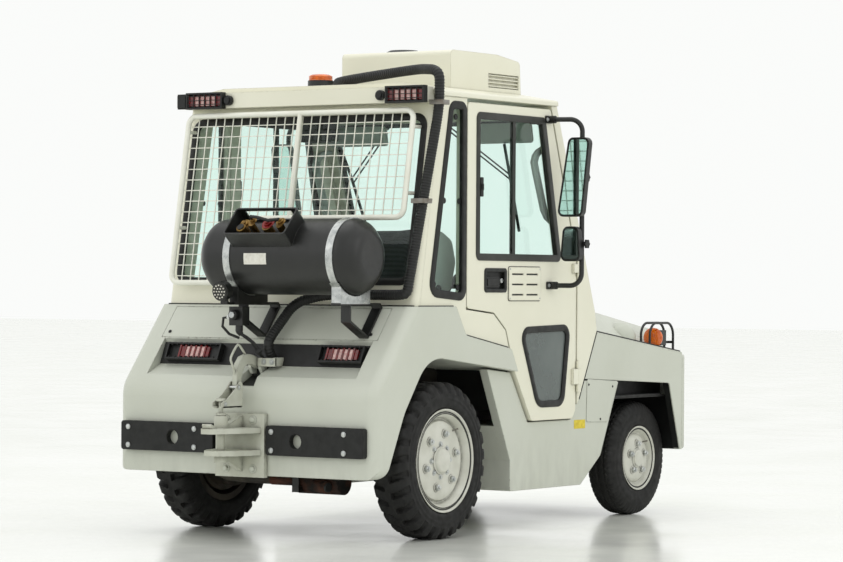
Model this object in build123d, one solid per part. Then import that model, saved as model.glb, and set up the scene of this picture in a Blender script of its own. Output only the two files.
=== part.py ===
from build123d import *
import os
from math import cos, radians, sin

# Driving sizes in millimetres. While drawing, X runs forward from the rear axle, Y to the left and Z up.
WHEELBASE = 1815
CAB_HALF = 655
CAB_TOP = 1885
BODY_TOP = 990
BODY_FLOOR = 275
REAR_R = 335
REAR_W = 178
FRONT_R = 268
FRONT_W = 150
WALL = 40
SEAT_GAP = 0.3
SIDES = (1, -1)

# Widths that follow the cab, and the front that follows the wheelbase.
BODY_HALF = CAB_HALF + 20
SKIRT_HALF = CAB_HALF - 17
HOOD_HALF = SKIRT_HALF - 78
REAR_OUT = BODY_HALF - 7
REAR_IN = REAR_OUT - REAR_W
FRONT_OUT = SKIRT_HALF - 68
FRONT_IN_Y = FRONT_OUT - FRONT_W
KINGPIN_Y = FRONT_OUT - 92
FRONT_IN = WHEELBASE + 288
FRONT_FACE = FRONT_IN + 22
LENS_OUT = 4
JAW_TIP = -800
X_MIDDLE = (JAW_TIP + FRONT_FACE + LENS_OUT) / 2

# Body outline: rear face, sloping back, cowl and falling fenders.
REAR_FACE = -545
SLOPE_START = (-504, 695)
SLOPE_UP = (0.6285, 0.7777)
COWL_X = 1268
FENDER_TOP = 874
FENDER_FALL = 0.1295

RAIL_IN = 200
RAIL_OUT = 255
RAIL_LOW = 420
RAIL_HIGH = 525

PIN_X = -700
PIN_R = 16
LEVER_X = -446
LEVER_Z = 742
LEVER_END_Z = 565

TANK_X = -470
TANK_Z = 1196
TANK_R = 160
TANK_RIGHT = -603
TANK_LEFT = 214
STRAP_T = 4
CRADLE_YS = (32, -498)
CRADLE_HALF = 23

HINGE_X = 1088
HINGE_Y = CAB_HALF + 8
HINGE_R = 8
HOSE_R = 22


def prism(corners, radii, way):
    """Face with rounded corners, drawn out along a vector."""
    reach = Vector(way)
    edge = FilletPolyline(*corners, radius=radii, close=True)
    return extrude(make_face(edge), amount=reach.length, dir=reach.normalized())


def from_side(points, y0, y1, radii=0):
    """Outline in X and Z, drawn out from y0 to y1."""
    return prism([(x, y0, z) for x, z in points], radii, (0, y1 - y0, 0))


def from_above(points, z0, z1, radii=0):
    """Outline in X and Y, drawn out from z0 to z1."""
    return prism([(x, y, z0) for x, y in points], radii, (0, 0, z1 - z0))


def from_back(points, x0, x1, radii=0):
    """Outline in Y and Z, drawn out from x0 to x1."""
    return prism([(x0, y, z) for y, z in points], radii, (x1 - x0, 0, 0))


def block(x0, x1, y0, y1, z0, z1):
    """Box between two corners."""
    middle = Pos((x0 + x1) / 2, (y0 + y1) / 2, (z0 + z1) / 2)
    return middle * Box(abs(x1 - x0), abs(y1 - y0), abs(z1 - z0))


def rod(start, end, radius):
    """Round bar between two points."""
    way = Vector(end) - Vector(start)
    upright = (Align.CENTER, Align.CENTER, Align.MIN)
    return Plane(origin=start, z_dir=way) * Cylinder(radius, way.length, align=upright)


def tube(points, bend, radius):
    """Round bar along a bent path."""
    path = FilletPolyline(*points, radius=bend)
    return sweep(Plane(origin=path @ 0, z_dir=path % 0) * Circle(radius), path=path)


def bent_bar(points, bend, width, height):
    """Flat bar along a path in X and Z, its width across Y."""
    path = FilletPolyline(*[(x, 0, z) for x, z in points], radius=bend)
    start = Plane(origin=path @ 0, x_dir=(0, 1, 0), z_dir=path % 0)
    return sweep(start * Rectangle(width, height), path=path)


def turned(profile, x, z, radii=0):
    """Ring or disc about a cross axis at x, z; the profile lists y and radius."""
    edge = FilletPolyline(*[(x, y, z + r) for y, r in profile], radius=radii, close=True)
    return revolve(make_face(edge), axis=Axis((x, 0, z), (0, 1, 0)))


def flipped(shape):
    """The same piece on the other side."""
    return mirror(shape, about=Plane.XZ)


def keep(node, *shapes):
    """Writes one node, moved so that the middle of the length is at zero."""
    solids = [solid for shape in shapes for solid in (Pos(-X_MIDDLE, 0, 0) * shape).solids()]
    export_step(Compound(solids), f"parts/{node}.step")


def on_slope(along, out):
    """Point in X and Z on the sloping back, a distance up it and out from it."""
    x = SLOPE_START[0] + along * SLOPE_UP[0] - out * SLOPE_UP[1]
    z = SLOPE_START[1] + along * SLOPE_UP[1] + out * SLOPE_UP[0]
    return (x, z)


def off_slope(point):
    """Distance of a point out from the sloping back."""
    return (point.Z - SLOPE_START[1]) * SLOPE_UP[0] - (point.X - SLOPE_START[0]) * SLOPE_UP[1]


def wall_x(z):
    """Outer face of the leaning rear wall of the cab."""
    return -228 + (z - 1000) * 0.173


def screen_x(z):
    """Outer face of the leaning windscreen."""
    return 1252 - (z - 960) * 0.3751


def fender_z(x):
    """Top of the front fenders, which fall towards the front."""
    return FENDER_TOP - (x - COWL_X) * FENDER_FALL


os.makedirs("parts", exist_ok=True)

# Rear body: one side outline with the wheel arch open through it.
slope_run = SLOPE_UP[0] / SLOPE_UP[1]
body_outline = [
    (REAR_FACE, BODY_FLOOR),
    (REAR_FACE, SLOPE_START[1] + (REAR_FACE - SLOPE_START[0]) / slope_run),
    (SLOPE_START[0] + (BODY_TOP - SLOPE_START[1]) * slope_run, BODY_TOP),
    (60, BODY_TOP),
    (140, BODY_TOP - 124),
    (505, BODY_TOP - 186),
    (560, BODY_TOP - 286),
    (-150, 2 * REAR_R + 111),
    (-330, REAR_R + 210),
    (-462, BODY_FLOOR),
]
rear_body = from_side(body_outline, -BODY_HALF, BODY_HALF, [0, 130, 0, 5, 30, 25, 0, 200, 300, 40])
rear_corners = [
    edge
    for edge in rear_body.edges()
    if abs(edge.center().Y) > BODY_HALF - 1
    and (edge.center().X < REAR_FACE + 25 or off_slope(edge.center()) > -60)
]
rear_body = fillet(rear_corners, 45)

cross = [(-BODY_HALF, BODY_FLOOR), (BODY_HALF, BODY_FLOOR), (BODY_HALF, 2000), (-BODY_HALF, 2000)]
rear_body = rear_body & from_back(cross, -1000, 1000, [50, 50, 0, 0])

RECESS_HALF = BODY_HALF - 125
recess_wall = [(-384, 843), (-377, 828), (-420, 730), (-508, 690)]
rear_body -= from_side(recess_wall + [(-640, 690), (-640, 843)], -RECESS_HALF, RECESS_HALF)
NOTCH_HALF = 46
notch = [(-424, 729), (-424, 690), (-508, 650), (-640, 650), (-640, 729)]
rear_body -= from_side(notch, -NOTCH_HALF, NOTCH_HALF)
PANEL_HALF = BODY_HALF - 104
PANEL_T = 10
PANEL_LOW, PANEL_HIGH, PANEL_SEAM = 196, 368, 1.5


def on_panel(low, high, out, back):
    """Outline in X and Z of a slab that lies along the sloping back."""
    return [on_slope(low, out), on_slope(high, out), on_slope(high, back), on_slope(low, back)]


rear_body -= from_side(on_panel(PANEL_LOW, PANEL_HIGH, 20, -PANEL_T), -PANEL_HALF, PANEL_HALF)
for side in SIDES:
    ear = [(-468, 758), (-468, 724), (-452, 700), (-405, 700), (-405, 760)]
    rear_body += from_side(ear, 19 * side, 34 * side)
rear_body += rod((LEVER_X, -34, LEVER_Z), (LEVER_X, 34, LEVER_Z), 8)
keep("rear_body", rear_body)

panel_side = on_panel(PANEL_LOW + PANEL_SEAM, PANEL_HIGH - PANEL_SEAM, 0, -PANEL_T)
keep("rear_panel", from_side(panel_side, PANEL_SEAM - PANEL_HALF, PANEL_HALF - PANEL_SEAM))

# Lamps: a pair on the recessed shelf and a pair on the roof beam.
LAMP_OUT = RECESS_HALF - 18
LAMP_IN = LAMP_OUT - 270


def on_shelf(along, out):
    """Point in X and Z on the back wall of the lamp shelf."""
    return (-420 + 0.4018 * along - 0.9157 * out, 730 + 0.9157 * along + 0.4018 * out)


shelf_lamp = [on_shelf(14, SEAT_GAP), on_shelf(92, SEAT_GAP), on_shelf(88, 34), on_shelf(18, 34)]
BEAM_REAR, BEAM_FRONT = -150, -80.9
BEAM_LOW, BEAM_HIGH = CAB_TOP - 33, CAB_TOP + 34
ROOF_LAMP_IN, ROOF_LAMP_OUT = CAB_HALF - 255, CAB_HALF + 5
lamps = []
for side in SIDES:
    lamps.append(from_side(shelf_lamp, LAMP_IN * side, LAMP_OUT * side))
    lamp_back, lamp_face = BEAM_REAR - SEAT_GAP, BEAM_REAR - 28
    lamp_span = (ROOF_LAMP_IN * side, ROOF_LAMP_OUT * side)
    roof_lamp = block(lamp_face, lamp_back, *lamp_span, BEAM_LOW - 3, BEAM_HIGH + 3)
    round_y = (ROOF_LAMP_IN - 20) * side
    lamps.append(roof_lamp + rod((lamp_back, round_y, CAB_TOP), (lamp_face + 8, round_y, CAB_TOP), 32))
keep("rear_lamps", *lamps)

# Push pads on the rear face, each with one round hole.
PAD_T, PAD_LOW, PAD_HIGH, PAD_IN = 30, 364, 489, 140
PAD_OUT = BODY_HALF - 39
pads = []
for side, hole_y in ((1, 357), (-1, -292)):
    near, far = PAD_IN * side, PAD_OUT * side
    corners = [(near, PAD_LOW), (far, PAD_LOW), (far, PAD_HIGH), (near, PAD_HIGH)]
    pad = from_back(corners, REAR_FACE - SEAT_GAP, REAR_FACE - PAD_T, 12)
    pads.append(pad - rod((REAR_FACE + 1, hole_y, 425), (REAR_FACE - PAD_T - 1, hole_y, 425), 31))
keep("bumper_pads", *pads)

# Tow coupler: back plate, two jaws, guide bosses and ribs, all bored for the pin.
PLATE_BACK = REAR_FACE - 24
coupler = block(PLATE_BACK, REAR_FACE - SEAT_GAP, -128, 128, 268, 537)
root = PLATE_BACK + 5
JAWS = (
    # low, high, tip
    (455, 478, JAW_TIP),
    (362, 385, JAW_TIP + 25),
)
for low, high, tip in JAWS:
    jaw = [(root, 112), (PIN_X, 78), (tip, 32), (tip, -32), (PIN_X, -78), (root, -112)]
    coupler += from_above(jaw, low, high, [0, 60, 26, 26, 60, 0])
coupler += rod((PIN_X, 0, 470), (PIN_X, 0, 530), 29)
coupler += rod((PIN_X, 0, 335), (PIN_X, 0, 370), 29)
coupler += from_side([(root, 290), (root, 370), (PIN_X + 10, 370), (PIN_X + 10, 350)], -14, 14)
coupler += from_side([(root, 530), (root, 470), (PIN_X + 20, 470), (PIN_X + 20, 486)], -14, 14)
lip = [(JAW_TIP + 48, 470), (JAW_TIP + 48, 478), (JAW_TIP + 4, 498), (JAW_TIP, 490), (JAW_TIP + 10, 470)]
coupler += from_side(lip, -24, 24)
coupler -= rod((PIN_X, 0, 300), (PIN_X, 0, 600), PIN_R + SEAT_GAP)
keep("tow_coupler", coupler)

pin = rod((PIN_X, 0, 345), (PIN_X, 0, 532), PIN_R) + rod((PIN_X, 0, 531), (PIN_X, 0, 541), 22)
pin += rod((PIN_X, 0, 540), (PIN_X, 0, LEVER_END_Z + 27), 10)
pin += rod((PIN_X, 0, LEVER_END_Z + 25), (PIN_X, 0, LEVER_END_Z + 37), 21)
keep("coupler_pin", pin)

lever_line = [(LEVER_X, LEVER_Z), (-530, 768), (-592, 738), (-600, LEVER_END_Z - 4)]
lever = bent_bar(lever_line, [60, 45], 30, 20)
lever += rod((LEVER_X, -18, LEVER_Z), (LEVER_X, 18, LEVER_Z), 19)
fork = [(-592, 27), (-732, 27), (-732, -27), (-592, -27)]
lever += from_above(fork, LEVER_END_Z - 4, LEVER_END_Z + 4, [0, 14, 14, 0])
fork_slot = [(-616, 15), (-718, 15), (-718, -15), (-616, -15)]
lever -= from_above(fork_slot, LEVER_END_Z - 30, LEVER_END_Z + 5, 12)
lever += tube([(-520, 0, 764), (-585, 0, 828), (-640, 0, 770), (-598, 0, 690)], [16, 16], 5)
lever -= rod((LEVER_X, -30, LEVER_Z), (LEVER_X, 30, LEVER_Z), 8 + SEAT_GAP)
keep("coupler_lever", lever)

# Frame rails, tied by three cross members.
RAIL_END = FRONT_IN - SEAT_GAP
frame = block(300, 380, -RAIL_IN, RAIL_IN, RAIL_LOW, RAIL_HIGH)
frame += block(COWL_X - 53, COWL_X - 3, -RAIL_IN, RAIL_IN, RAIL_LOW, RAIL_LOW + 60)
frame += block(FRONT_IN - 63, RAIL_END, -RAIL_IN, RAIL_IN, RAIL_LOW, RAIL_HIGH)
for side in SIDES:
    frame += block(-420, RAIL_END, RAIL_IN * side, RAIL_OUT * side, RAIL_LOW, RAIL_HIGH)
frame -= rear_body
keep("frame", frame)

# Side boxes below the doors, with the plate that closes each side.
SILL_LOW = 176
sill_nose = [(WHEELBASE - 480, 303), (WHEELBASE - 658, SILL_LOW)]
sill_plate = [
    (554, SILL_LOW), (554, 312), (362, 716), (552, 698), (698, 475), (1066, 475),
    (1120, 562), (1170, 650), (WHEELBASE - 320, 636),
] + sill_nose
sill_box = [(554, SILL_LOW), (554, 312), (480, 465), (WHEELBASE - 407, 465)] + sill_nose
sills = []
for side in SIDES:
    plate_in, plate_out = (SKIRT_HALF - WALL) * side, SKIRT_HALF * side
    sill = from_side(sill_plate, plate_in, plate_out, [12, 0, 0, 0, 0, 20, 0, 0, 0, 0, 20])
    sill += from_side(sill_box, (RAIL_OUT + SEAT_GAP) * side, plate_in + side, [12, 0, 0, 0, 0, 20])
    sills.append(sill)
keep("side_sills", *sills)

# Front fenders: side plate with the open arch, sloping top and the ledge that the engine cover rests on.
FENDER_BACK, FENDER_END = COWL_X + 10, FRONT_IN - 1
fender_side = [
    (FENDER_BACK, fender_z(FENDER_BACK)), (RAIL_END, fender_z(FRONT_IN)), (RAIL_END, 300),
    (FRONT_IN - 18, 300), (FRONT_IN - 124, 621), (1166, 658),
]


def under_fender(high, low):
    """Outline in X and Z of a strip that falls with the fender's top."""
    ends = (FENDER_BACK, FENDER_END)
    return [(x, fender_z(x) - high) for x in ends] + [(x, fender_z(x) - low) for x in reversed(ends)]


fenders = []
for side in SIDES:
    fender = from_side(fender_side, (SKIRT_HALF - WALL) * side, SKIRT_HALF * side, [0, 0, 0, 15, 110, 0])
    fender += from_side(under_fender(0, 14), (HOOD_HALF + 2) * side, SKIRT_HALF * side)
    fender += from_side(under_fender(4 + SEAT_GAP, 14), (HOOD_HALF - 50) * side, (HOOD_HALF + 3) * side)
    fenders.append(fender)
keep("front_fenders", *fenders)

# Engine cover: a lofted shell, open below, with a round blister on the right shoulder.
HOOD_BACK, HOOD_FRONT, HOOD_T = COWL_X - 10, FRONT_IN - 4, 14
CROWN_HALF = HOOD_HALF - 130
CROWN_BACK, CROWN_FRONT = FENDER_TOP + 142, fender_z(FRONT_IN) + 116


def hood_face(x, crown, inset):
    """Cross outline of the engine cover."""
    base = fender_z(x) - 4 - (30 if inset else 0)
    half, top, edge = HOOD_HALF - inset, crown - inset, fender_z(x) + 10
    right = [(half, base), (half, edge), (CROWN_HALF, top)]
    points = right + [(-y, z) for y, z in reversed(right)]
    return make_face(Polyline(*[(x, y, z) for y, z in points], close=True))


hood = loft([hood_face(HOOD_BACK, CROWN_BACK, 0), hood_face(HOOD_FRONT, CROWN_FRONT, 0)], ruled=True)
BLISTER_X, BLISTER_Y, BLISTER_R = FRONT_IN - 353, 60 - HOOD_HALF, 74
blister_foot = fender_z(BLISTER_X) + 8
blister = Pos(BLISTER_X, BLISTER_Y, blister_foot + 18) * Sphere(BLISTER_R)
around = BLISTER_R + 16
below = Pos(BLISTER_X, BLISTER_Y, blister_foot - 100) * Box(2 * around, 2 * around, 200)
hood += blister - below
inner_back = hood_face(HOOD_BACK - 1, CROWN_BACK, HOOD_T)
inner_front = hood_face(HOOD_FRONT - HOOD_T, CROWN_FRONT, HOOD_T)
hood -= loft([inner_back, inner_front], ruled=True)
hood -= block(HOOD_BACK - 50, HOOD_FRONT + 50, -HOOD_HALF, HOOD_HALF, 600, 700)
keep("hood", hood)

# Front panel with air slots and round lamp openings.
panel_edge = fender_z(FRONT_FACE)
half_front = [(CROWN_HALF, CROWN_FRONT), (HOOD_HALF, panel_edge)]
half_front += [(SKIRT_HALF, panel_edge - 9), (SKIRT_HALF, 300)]
panel_front = [(-y, z) for y, z in reversed(half_front)] + half_front
front = from_back(panel_front, FRONT_IN, FRONT_FACE, [20, 15, 0, 20, 20, 0, 15, 20])
SLOT_COUNT, SLOT_STEP, SLOT_LOW, SLOT_TALL, SLOT_HALF = 7, 34, 560, 18, 270
for step in range(SLOT_COUNT):
    low = SLOT_LOW + step * SLOT_STEP
    front -= block(FRONT_IN - 1, FRONT_FACE + 1, -SLOT_HALF, SLOT_HALF, low, low + SLOT_TALL)
HEAD_Y, HEAD_Z, HEAD_R = HOOD_HALF - 130, 640, 76
heads = []
for side in SIDES:
    y = HEAD_Y * side
    front -= rod((FRONT_IN - 1, y, HEAD_Z), (FRONT_FACE + 1, y, HEAD_Z), HEAD_R)
    heads.append(rod((FRONT_IN, y, HEAD_Z), (FRONT_FACE + LENS_OUT, y, HEAD_Z), HEAD_R))
keep("front_panel", front)
keep("headlamps", *heads)

# Side lamps on the front fenders, each under two bent guard tubes, and the beacon with its base.
MARK_X, MARK_Y, MARK_REACH, MARK_R = FRONT_IN - 178, SKIRT_HALF - 38, 112, 40
HOOP_OFF, HOOP_R, HOOP_TALL = 24, 6, 118
ambers, bases = [], []
foot = fender_z(MARK_X)
back, ahead = MARK_X - MARK_REACH, MARK_X + MARK_REACH
hoop_line = [(back, foot), (back, foot + HOOP_TALL), (ahead, foot + HOOP_TALL), (ahead, foot - 20)]
ends = (MARK_X - 200, MARK_X + 200)
fender_room = [(x, fender_z(x) + SEAT_GAP) for x in ends] + [(ends[1], 500), (ends[0], 500)]
for side in SIDES:
    y = MARK_Y * side
    base = block(MARK_X - 26, MARK_X + 24, y - 36, y + 36, foot + 12, foot + 84)
    base += block(MARK_X, ahead, y - 10, y + 10, foot + 20, foot + 32)
    base += block(ahead - 5, ahead + 5, y - 28, y + 28, foot + 20, foot + 32)
    for off in (-HOOP_OFF, HOOP_OFF):
        base += tube([(x, y + off, z) for x, z in hoop_line], [60, 60], HOOP_R)
    bases.append(base - from_side(fender_room, y - 200, y + 200))
    ambers.append(rod((MARK_X - 26 - SEAT_GAP, y, foot + 48), (MARK_X - 54, y, foot + 48), MARK_R))
ROOF_CROWN = CAB_TOP + 57
BEACON_X, BEACON_R = 0, 56
bases.append(rod((BEACON_X, 0, ROOF_CROWN + SEAT_GAP), (BEACON_X, 0, ROOF_CROWN + 26), BEACON_R))
lens_foot = ROOF_CROWN + 26 + SEAT_GAP
ambers.append(rod((BEACON_X, 0, lens_foot), (BEACON_X, 0, lens_foot + 28), BEACON_R - 4))
keep("amber_lamps", *ambers)
keep("lamp_bases", *bases)

# Cab rear wall: a leaning slab with one big window.
WALL_LOW = BODY_TOP + SEAT_GAP
WALL_HIGH = CAB_TOP - SEAT_GAP
GLASS_T = 6


def leaning(x_of, low, high, near, far, y0, y1):
    """Slab that leans with a face, between two depths ahead of it."""
    foot, head = x_of(low), x_of(high)
    return from_side([(foot + near, low), (head + near, high), (head + far, high), (foot + far, low)], y0, y1)


rear_wall = leaning(wall_x, WALL_LOW, WALL_HIGH, 0, WALL, -CAB_HALF, CAB_HALF)
rear_edges = [
    edge
    for edge in rear_wall.edges()
    if edge.length > 500
    and abs(edge.center().Y) > CAB_HALF - 1
    and edge.center().X < wall_x(edge.center().Z) + 5
]
rear_wall = fillet(rear_edges, 28)
PANE_HALF, PANE_LOW, PANE_HIGH = CAB_HALF - 43, BODY_TOP + 102, CAB_TOP - 89
pane = [(-PANE_HALF, PANE_LOW), (PANE_HALF, PANE_LOW), (PANE_HALF, PANE_HIGH), (-PANE_HALF, PANE_HIGH)]
rear_hole = from_back(pane, -400, 200, 45)
keep("cab_rear_wall", rear_wall - rear_hole)
rear_glass = leaning(wall_x, PANE_LOW - 50, PANE_HIGH + 50, 14, 14 + GLASS_T, -CAB_HALF, CAB_HALF)
rear_glass = rear_glass & rear_hole

# Cab sides: the quarter behind each door, with a tall narrow window.
SIDE_IN, SIDE_OUT = CAB_HALF - WALL, CAB_HALF
QUARTER_FRONT = 166
wall_front = WALL + SEAT_GAP
quarter = [
    (wall_x(WALL_LOW) + wall_front, WALL_LOW), (wall_x(CAB_TOP) + wall_front, WALL_HIGH),
    (QUARTER_FRONT, WALL_HIGH), (QUARTER_FRONT, 976),
    (386, 956), (484, 884), (512, 808), (146, 870), (66, WALL_LOW),
]
QUARTER_HIGH = CAB_TOP - 39
hole_front = QUARTER_FRONT - 24
quarter_hole = [
    (wall_x(1052) + 115, 1052), (wall_x(QUARTER_HIGH) + 130, QUARTER_HIGH),
    (hole_front, QUARTER_HIGH), (hole_front, 1034),
]
QUARTER_ROUND = [40, 30, 22, 30]
sides, glasses = [], [rear_glass]
for side in SIDES:
    hole = from_side(quarter_hole, (SIDE_IN - 100) * side, (SIDE_OUT + 50) * side, QUARTER_ROUND)
    plate = from_side(quarter, SIDE_IN * side, SIDE_OUT * side)
    sides.append(plate - hole - rear_body)
    near, far = (SIDE_OUT - 14 - GLASS_T) * side, (SIDE_OUT - 14) * side
    glasses.append(from_side(quarter_hole, near, far, QUARTER_ROUND))
keep("cab_sides", *sides)

# Windscreen frame with the pillars that carry the doors.
SCREEN_T = 45
DOOR_TOP = CAB_TOP - 17
screen_top, screen_back = screen_x(CAB_TOP), screen_x(CAB_TOP) - SCREEN_T
screen = [
    (screen_back, WALL_HIGH), (screen_top, WALL_HIGH), (screen_x(960), 960), (COWL_X - 14, FENDER_TOP),
    (COWL_X - 56, FENDER_TOP), (screen_x(960) - SCREEN_T, 960),
]
COWL_HALF = SKIRT_HALF - WALL - 2
front_frame = from_side(screen, -CAB_HALF, CAB_HALF)
front_frame += block(COWL_X - 52, COWL_X - 14, -COWL_HALF, COWL_HALF, FENDER_TOP - 90, FENDER_TOP + 5)
low_half, high_half, high = CAB_HALF - 65, CAB_HALF - 80, CAB_TOP - 59
screen_line = [(-low_half, 1010), (low_half, 1010), (high_half, high), (-high_half, high)]
screen_hole = from_back(screen_line, 500, 1600, 45)
front_frame -= screen_hole
pillar = [
    (HINGE_X + 6, 545), (HINGE_X + 6, 1190), (screen_x(DOOR_TOP) - 49, DOOR_TOP), (screen_back, WALL_HIGH),
    (screen_top, WALL_HIGH), (screen_x(960), 960), (COWL_X, FENDER_TOP), (HINGE_X + 25, 566),
]
PILLAR_KNUCKLES = ((600, 634.5), (705.5, 740), (1120, 1139.5))
for side in SIDES:
    front_frame += from_side(pillar, SIDE_IN * side, SIDE_OUT * side)
    for low, high in PILLAR_KNUCKLES:
        front_frame += rod((HINGE_X, HINGE_Y * side, low), (HINGE_X, HINGE_Y * side, high), HINGE_R)
        near, far = (SIDE_OUT - 2) * side, (HINGE_Y + 6) * side
        front_frame += block(HINGE_X + 1, HINGE_X + 20, near, far, low, high)
keep("cab_front_frame", front_frame)
glasses.append(leaning(screen_x, 980, CAB_TOP - 25, -20 - GLASS_T, -20, -CAB_HALF, CAB_HALF) & screen_hole)
keep("cab_glass", *glasses)

# Cab floor with the riser below the seat and the bulkhead in front of the feet.
FLOOR_TOP, FLOOR_T = 545, 15
floor_front, floor_high = COWL_X - 52 - SEAT_GAP, FENDER_TOP - 90 - SEAT_GAP
floor_line = [
    (545, 699), (545, FLOOR_TOP - FLOOR_T), (floor_front, FLOOR_TOP - FLOOR_T), (floor_front, floor_high),
    (floor_front - FLOOR_T, floor_high), (floor_front - FLOOR_T, FLOOR_TOP), (560, FLOOR_TOP), (560, 697),
]
keep("cab_floor", from_side(floor_line, -COWL_HALF, COWL_HALF) - rear_body)

# Roof with a raised middle.
ROOF_HALF, ROOF_EDGE, ROOF_BACK = CAB_HALF + 7, CAB_TOP + 23, -80
half_roof = [(CAB_HALF - 185, ROOF_CROWN), (ROOF_HALF, ROOF_EDGE), (ROOF_HALF, CAB_TOP)]
roof_line = [(-y, z) for y, z in reversed(half_roof)] + half_roof
roof = from_back(roof_line, ROOF_BACK, screen_top + 1, [0, 12, 60, 60, 12, 0])
keep("cab_roof", roof)
keep("light_beam", block(BEAM_REAR, BEAM_FRONT, 9 - CAB_HALF, CAB_HALF - 9, BEAM_LOW, BEAM_HIGH))

# Roof cooling unit, set to the right, with side louvres and a low fan cover.
AC_LEFT, AC_RIGHT = 118, -462
AC_BACK, AC_FRONT = 330, 908
AC_FOOT, AC_TOP = ROOF_CROWN + SEAT_GAP, ROOF_CROWN + 169
ac_nose = [(AC_FRONT - 200, AC_TOP), (AC_FRONT - 10, AC_TOP - 23), (AC_FRONT, AC_FOOT)]
ac_line = [(AC_BACK, AC_FOOT), (AC_BACK, AC_TOP)] + ac_nose
cooler = from_side(ac_line, AC_RIGHT, AC_LEFT, [0, 22, 80, 22, 0])
LOUVRE_LOW, LOUVRE_STEP = ROOF_CROWN + 20, 16
louvre_back, louvre_front = AC_FRONT - 272, AC_FRONT - 20
cooler -= block(louvre_back, louvre_front, AC_RIGHT - 1, AC_RIGHT + 14, LOUVRE_LOW, LOUVRE_LOW + 62)
for step in range(4):
    low = LOUVRE_LOW + 4 + step * LOUVRE_STEP
    cooler += block(louvre_back - 2, louvre_front + 2, AC_RIGHT + 3, AC_RIGHT + 15, low, low + 6)
keep("aircon_unit", cooler)
FAN_X, FAN_Y, FAN_TALL = 470, -120, 14
keep("fan_cover", Pos(FAN_X, FAN_Y, AC_TOP + SEAT_GAP + FAN_TALL / 2) * Cone(92, 62, FAN_TALL))

# Window guard: a tube frame with a step in its lower edge, and two layers of crossed wires on its cab side.
GUARD_OFF, GUARD_TUBE, GUARD_BEND = 62, 12, 40
GUARD_LEFT, GUARD_RIGHT, GUARD_STEP_Y = CAB_HALF - 50, 63 - CAB_HALF, 195
GUARD_HIGH, GUARD_LOW = CAB_TOP - 65, BODY_TOP + 95
GUARD_MID = GUARD_LOW + 280
WIRE, WIRE_STEP = 4, 47


def on_guard(y, z, out=0):
    """Point on the leaning plane of the window guard."""
    return (wall_x(z) - GUARD_OFF - out, y, z)


def wire_layer(layer):
    """Near and far depth of one layer of wires behind the tube frame."""
    near = GUARD_TUBE + SEAT_GAP + layer * (WIRE + SEAT_GAP)
    return (-near, -near - WIRE)


guard_path = [
    (GUARD_LEFT, GUARD_HIGH), (GUARD_LEFT, GUARD_LOW), (GUARD_STEP_Y, GUARD_LOW),
    (GUARD_STEP_Y, GUARD_MID), (GUARD_RIGHT, GUARD_MID), (GUARD_RIGHT, GUARD_HIGH),
]
loop = FilletPolyline(*[on_guard(y, z) for y, z in guard_path], radius=GUARD_BEND, close=True)
guard = sweep(Plane(origin=loop @ 0.1, z_dir=loop % 0.1) * Circle(GUARD_TUBE), path=loop)
guard += rod(on_guard(0, GUARD_MID), on_guard(0, GUARD_HIGH), GUARD_TUBE - 1)
GUARD_STAYS = (
    # y, down from the top
    (GUARD_LEFT, 1.5 * WIRE_STEP),
    (GUARD_LEFT, 10.5 * WIRE_STEP),
    (GUARD_RIGHT, 1.5 * WIRE_STEP),
    (GUARD_RIGHT, 7.5 * WIRE_STEP),
)
for y, down in GUARD_STAYS:
    z = GUARD_HIGH - down
    guard += rod(on_guard(y, z), (wall_x(z) - 1.7, y, z), 8)
keep("rear_guard", guard)

wires = []
near, far = wire_layer(0)
for step in range(int((GUARD_LEFT - GUARD_RIGHT) / WIRE_STEP) + 1):
    y = GUARD_RIGHT + 22 + step * WIRE_STEP
    if y < GUARD_LEFT:
        low = GUARD_LOW if y > GUARD_STEP_Y else GUARD_MID
        section = [on_guard(y - 2, low, near), on_guard(y + 2, low, near)]
        section += [on_guard(y + 2, low, far), on_guard(y - 2, low, far)]
        wires.append(prism(section, 0, Vector(on_guard(y, GUARD_HIGH)) - Vector(on_guard(y, low))))
near, far = wire_layer(1)
for step in range(1, int((GUARD_HIGH - GUARD_LOW) / WIRE_STEP) + 1):
    z = GUARD_HIGH - step * WIRE_STEP
    right = GUARD_RIGHT if z > GUARD_MID else GUARD_STEP_Y
    section = [on_guard(GUARD_LEFT, z - 2, near), on_guard(GUARD_LEFT, z + 2, near)]
    section += [on_guard(GUARD_LEFT, z + 2, far), on_guard(GUARD_LEFT, z - 2, far)]
    wires.append(prism(section, 0, (0, right - GUARD_LEFT, 0)))
keep("guard_wires", *wires)

# Gas cylinder lying across the back, with a guard collar on its upper rear side.
TANK_END = 100
tank_line = [
    (TANK_RIGHT, 0), (TANK_RIGHT, TANK_END), (TANK_RIGHT + 58, TANK_R),
    (TANK_LEFT - 58, TANK_R), (TANK_LEFT, TANK_END), (TANK_LEFT, 0),
]
tank = turned(tank_line, TANK_X, TANK_Z, [0, 70, 70, 70, 70, 0])
COLLAR_TILT, COLLAR_Y, COLLAR_OUT = 42, -148, TANK_R + 62
lean = radians(COLLAR_TILT)
collar_at, collar_way = (TANK_X, COLLAR_Y, TANK_Z), (-cos(lean), 0, sin(lean))
collar_plane = Plane(origin=collar_at, x_dir=(0, 1, 0), z_dir=collar_way)


def tank_room(radius):
    """Plain cylinder on the axis of the tank."""
    return rod((TANK_X, TANK_RIGHT, TANK_Z), (TANK_X, TANK_LEFT, TANK_Z), radius)


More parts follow.
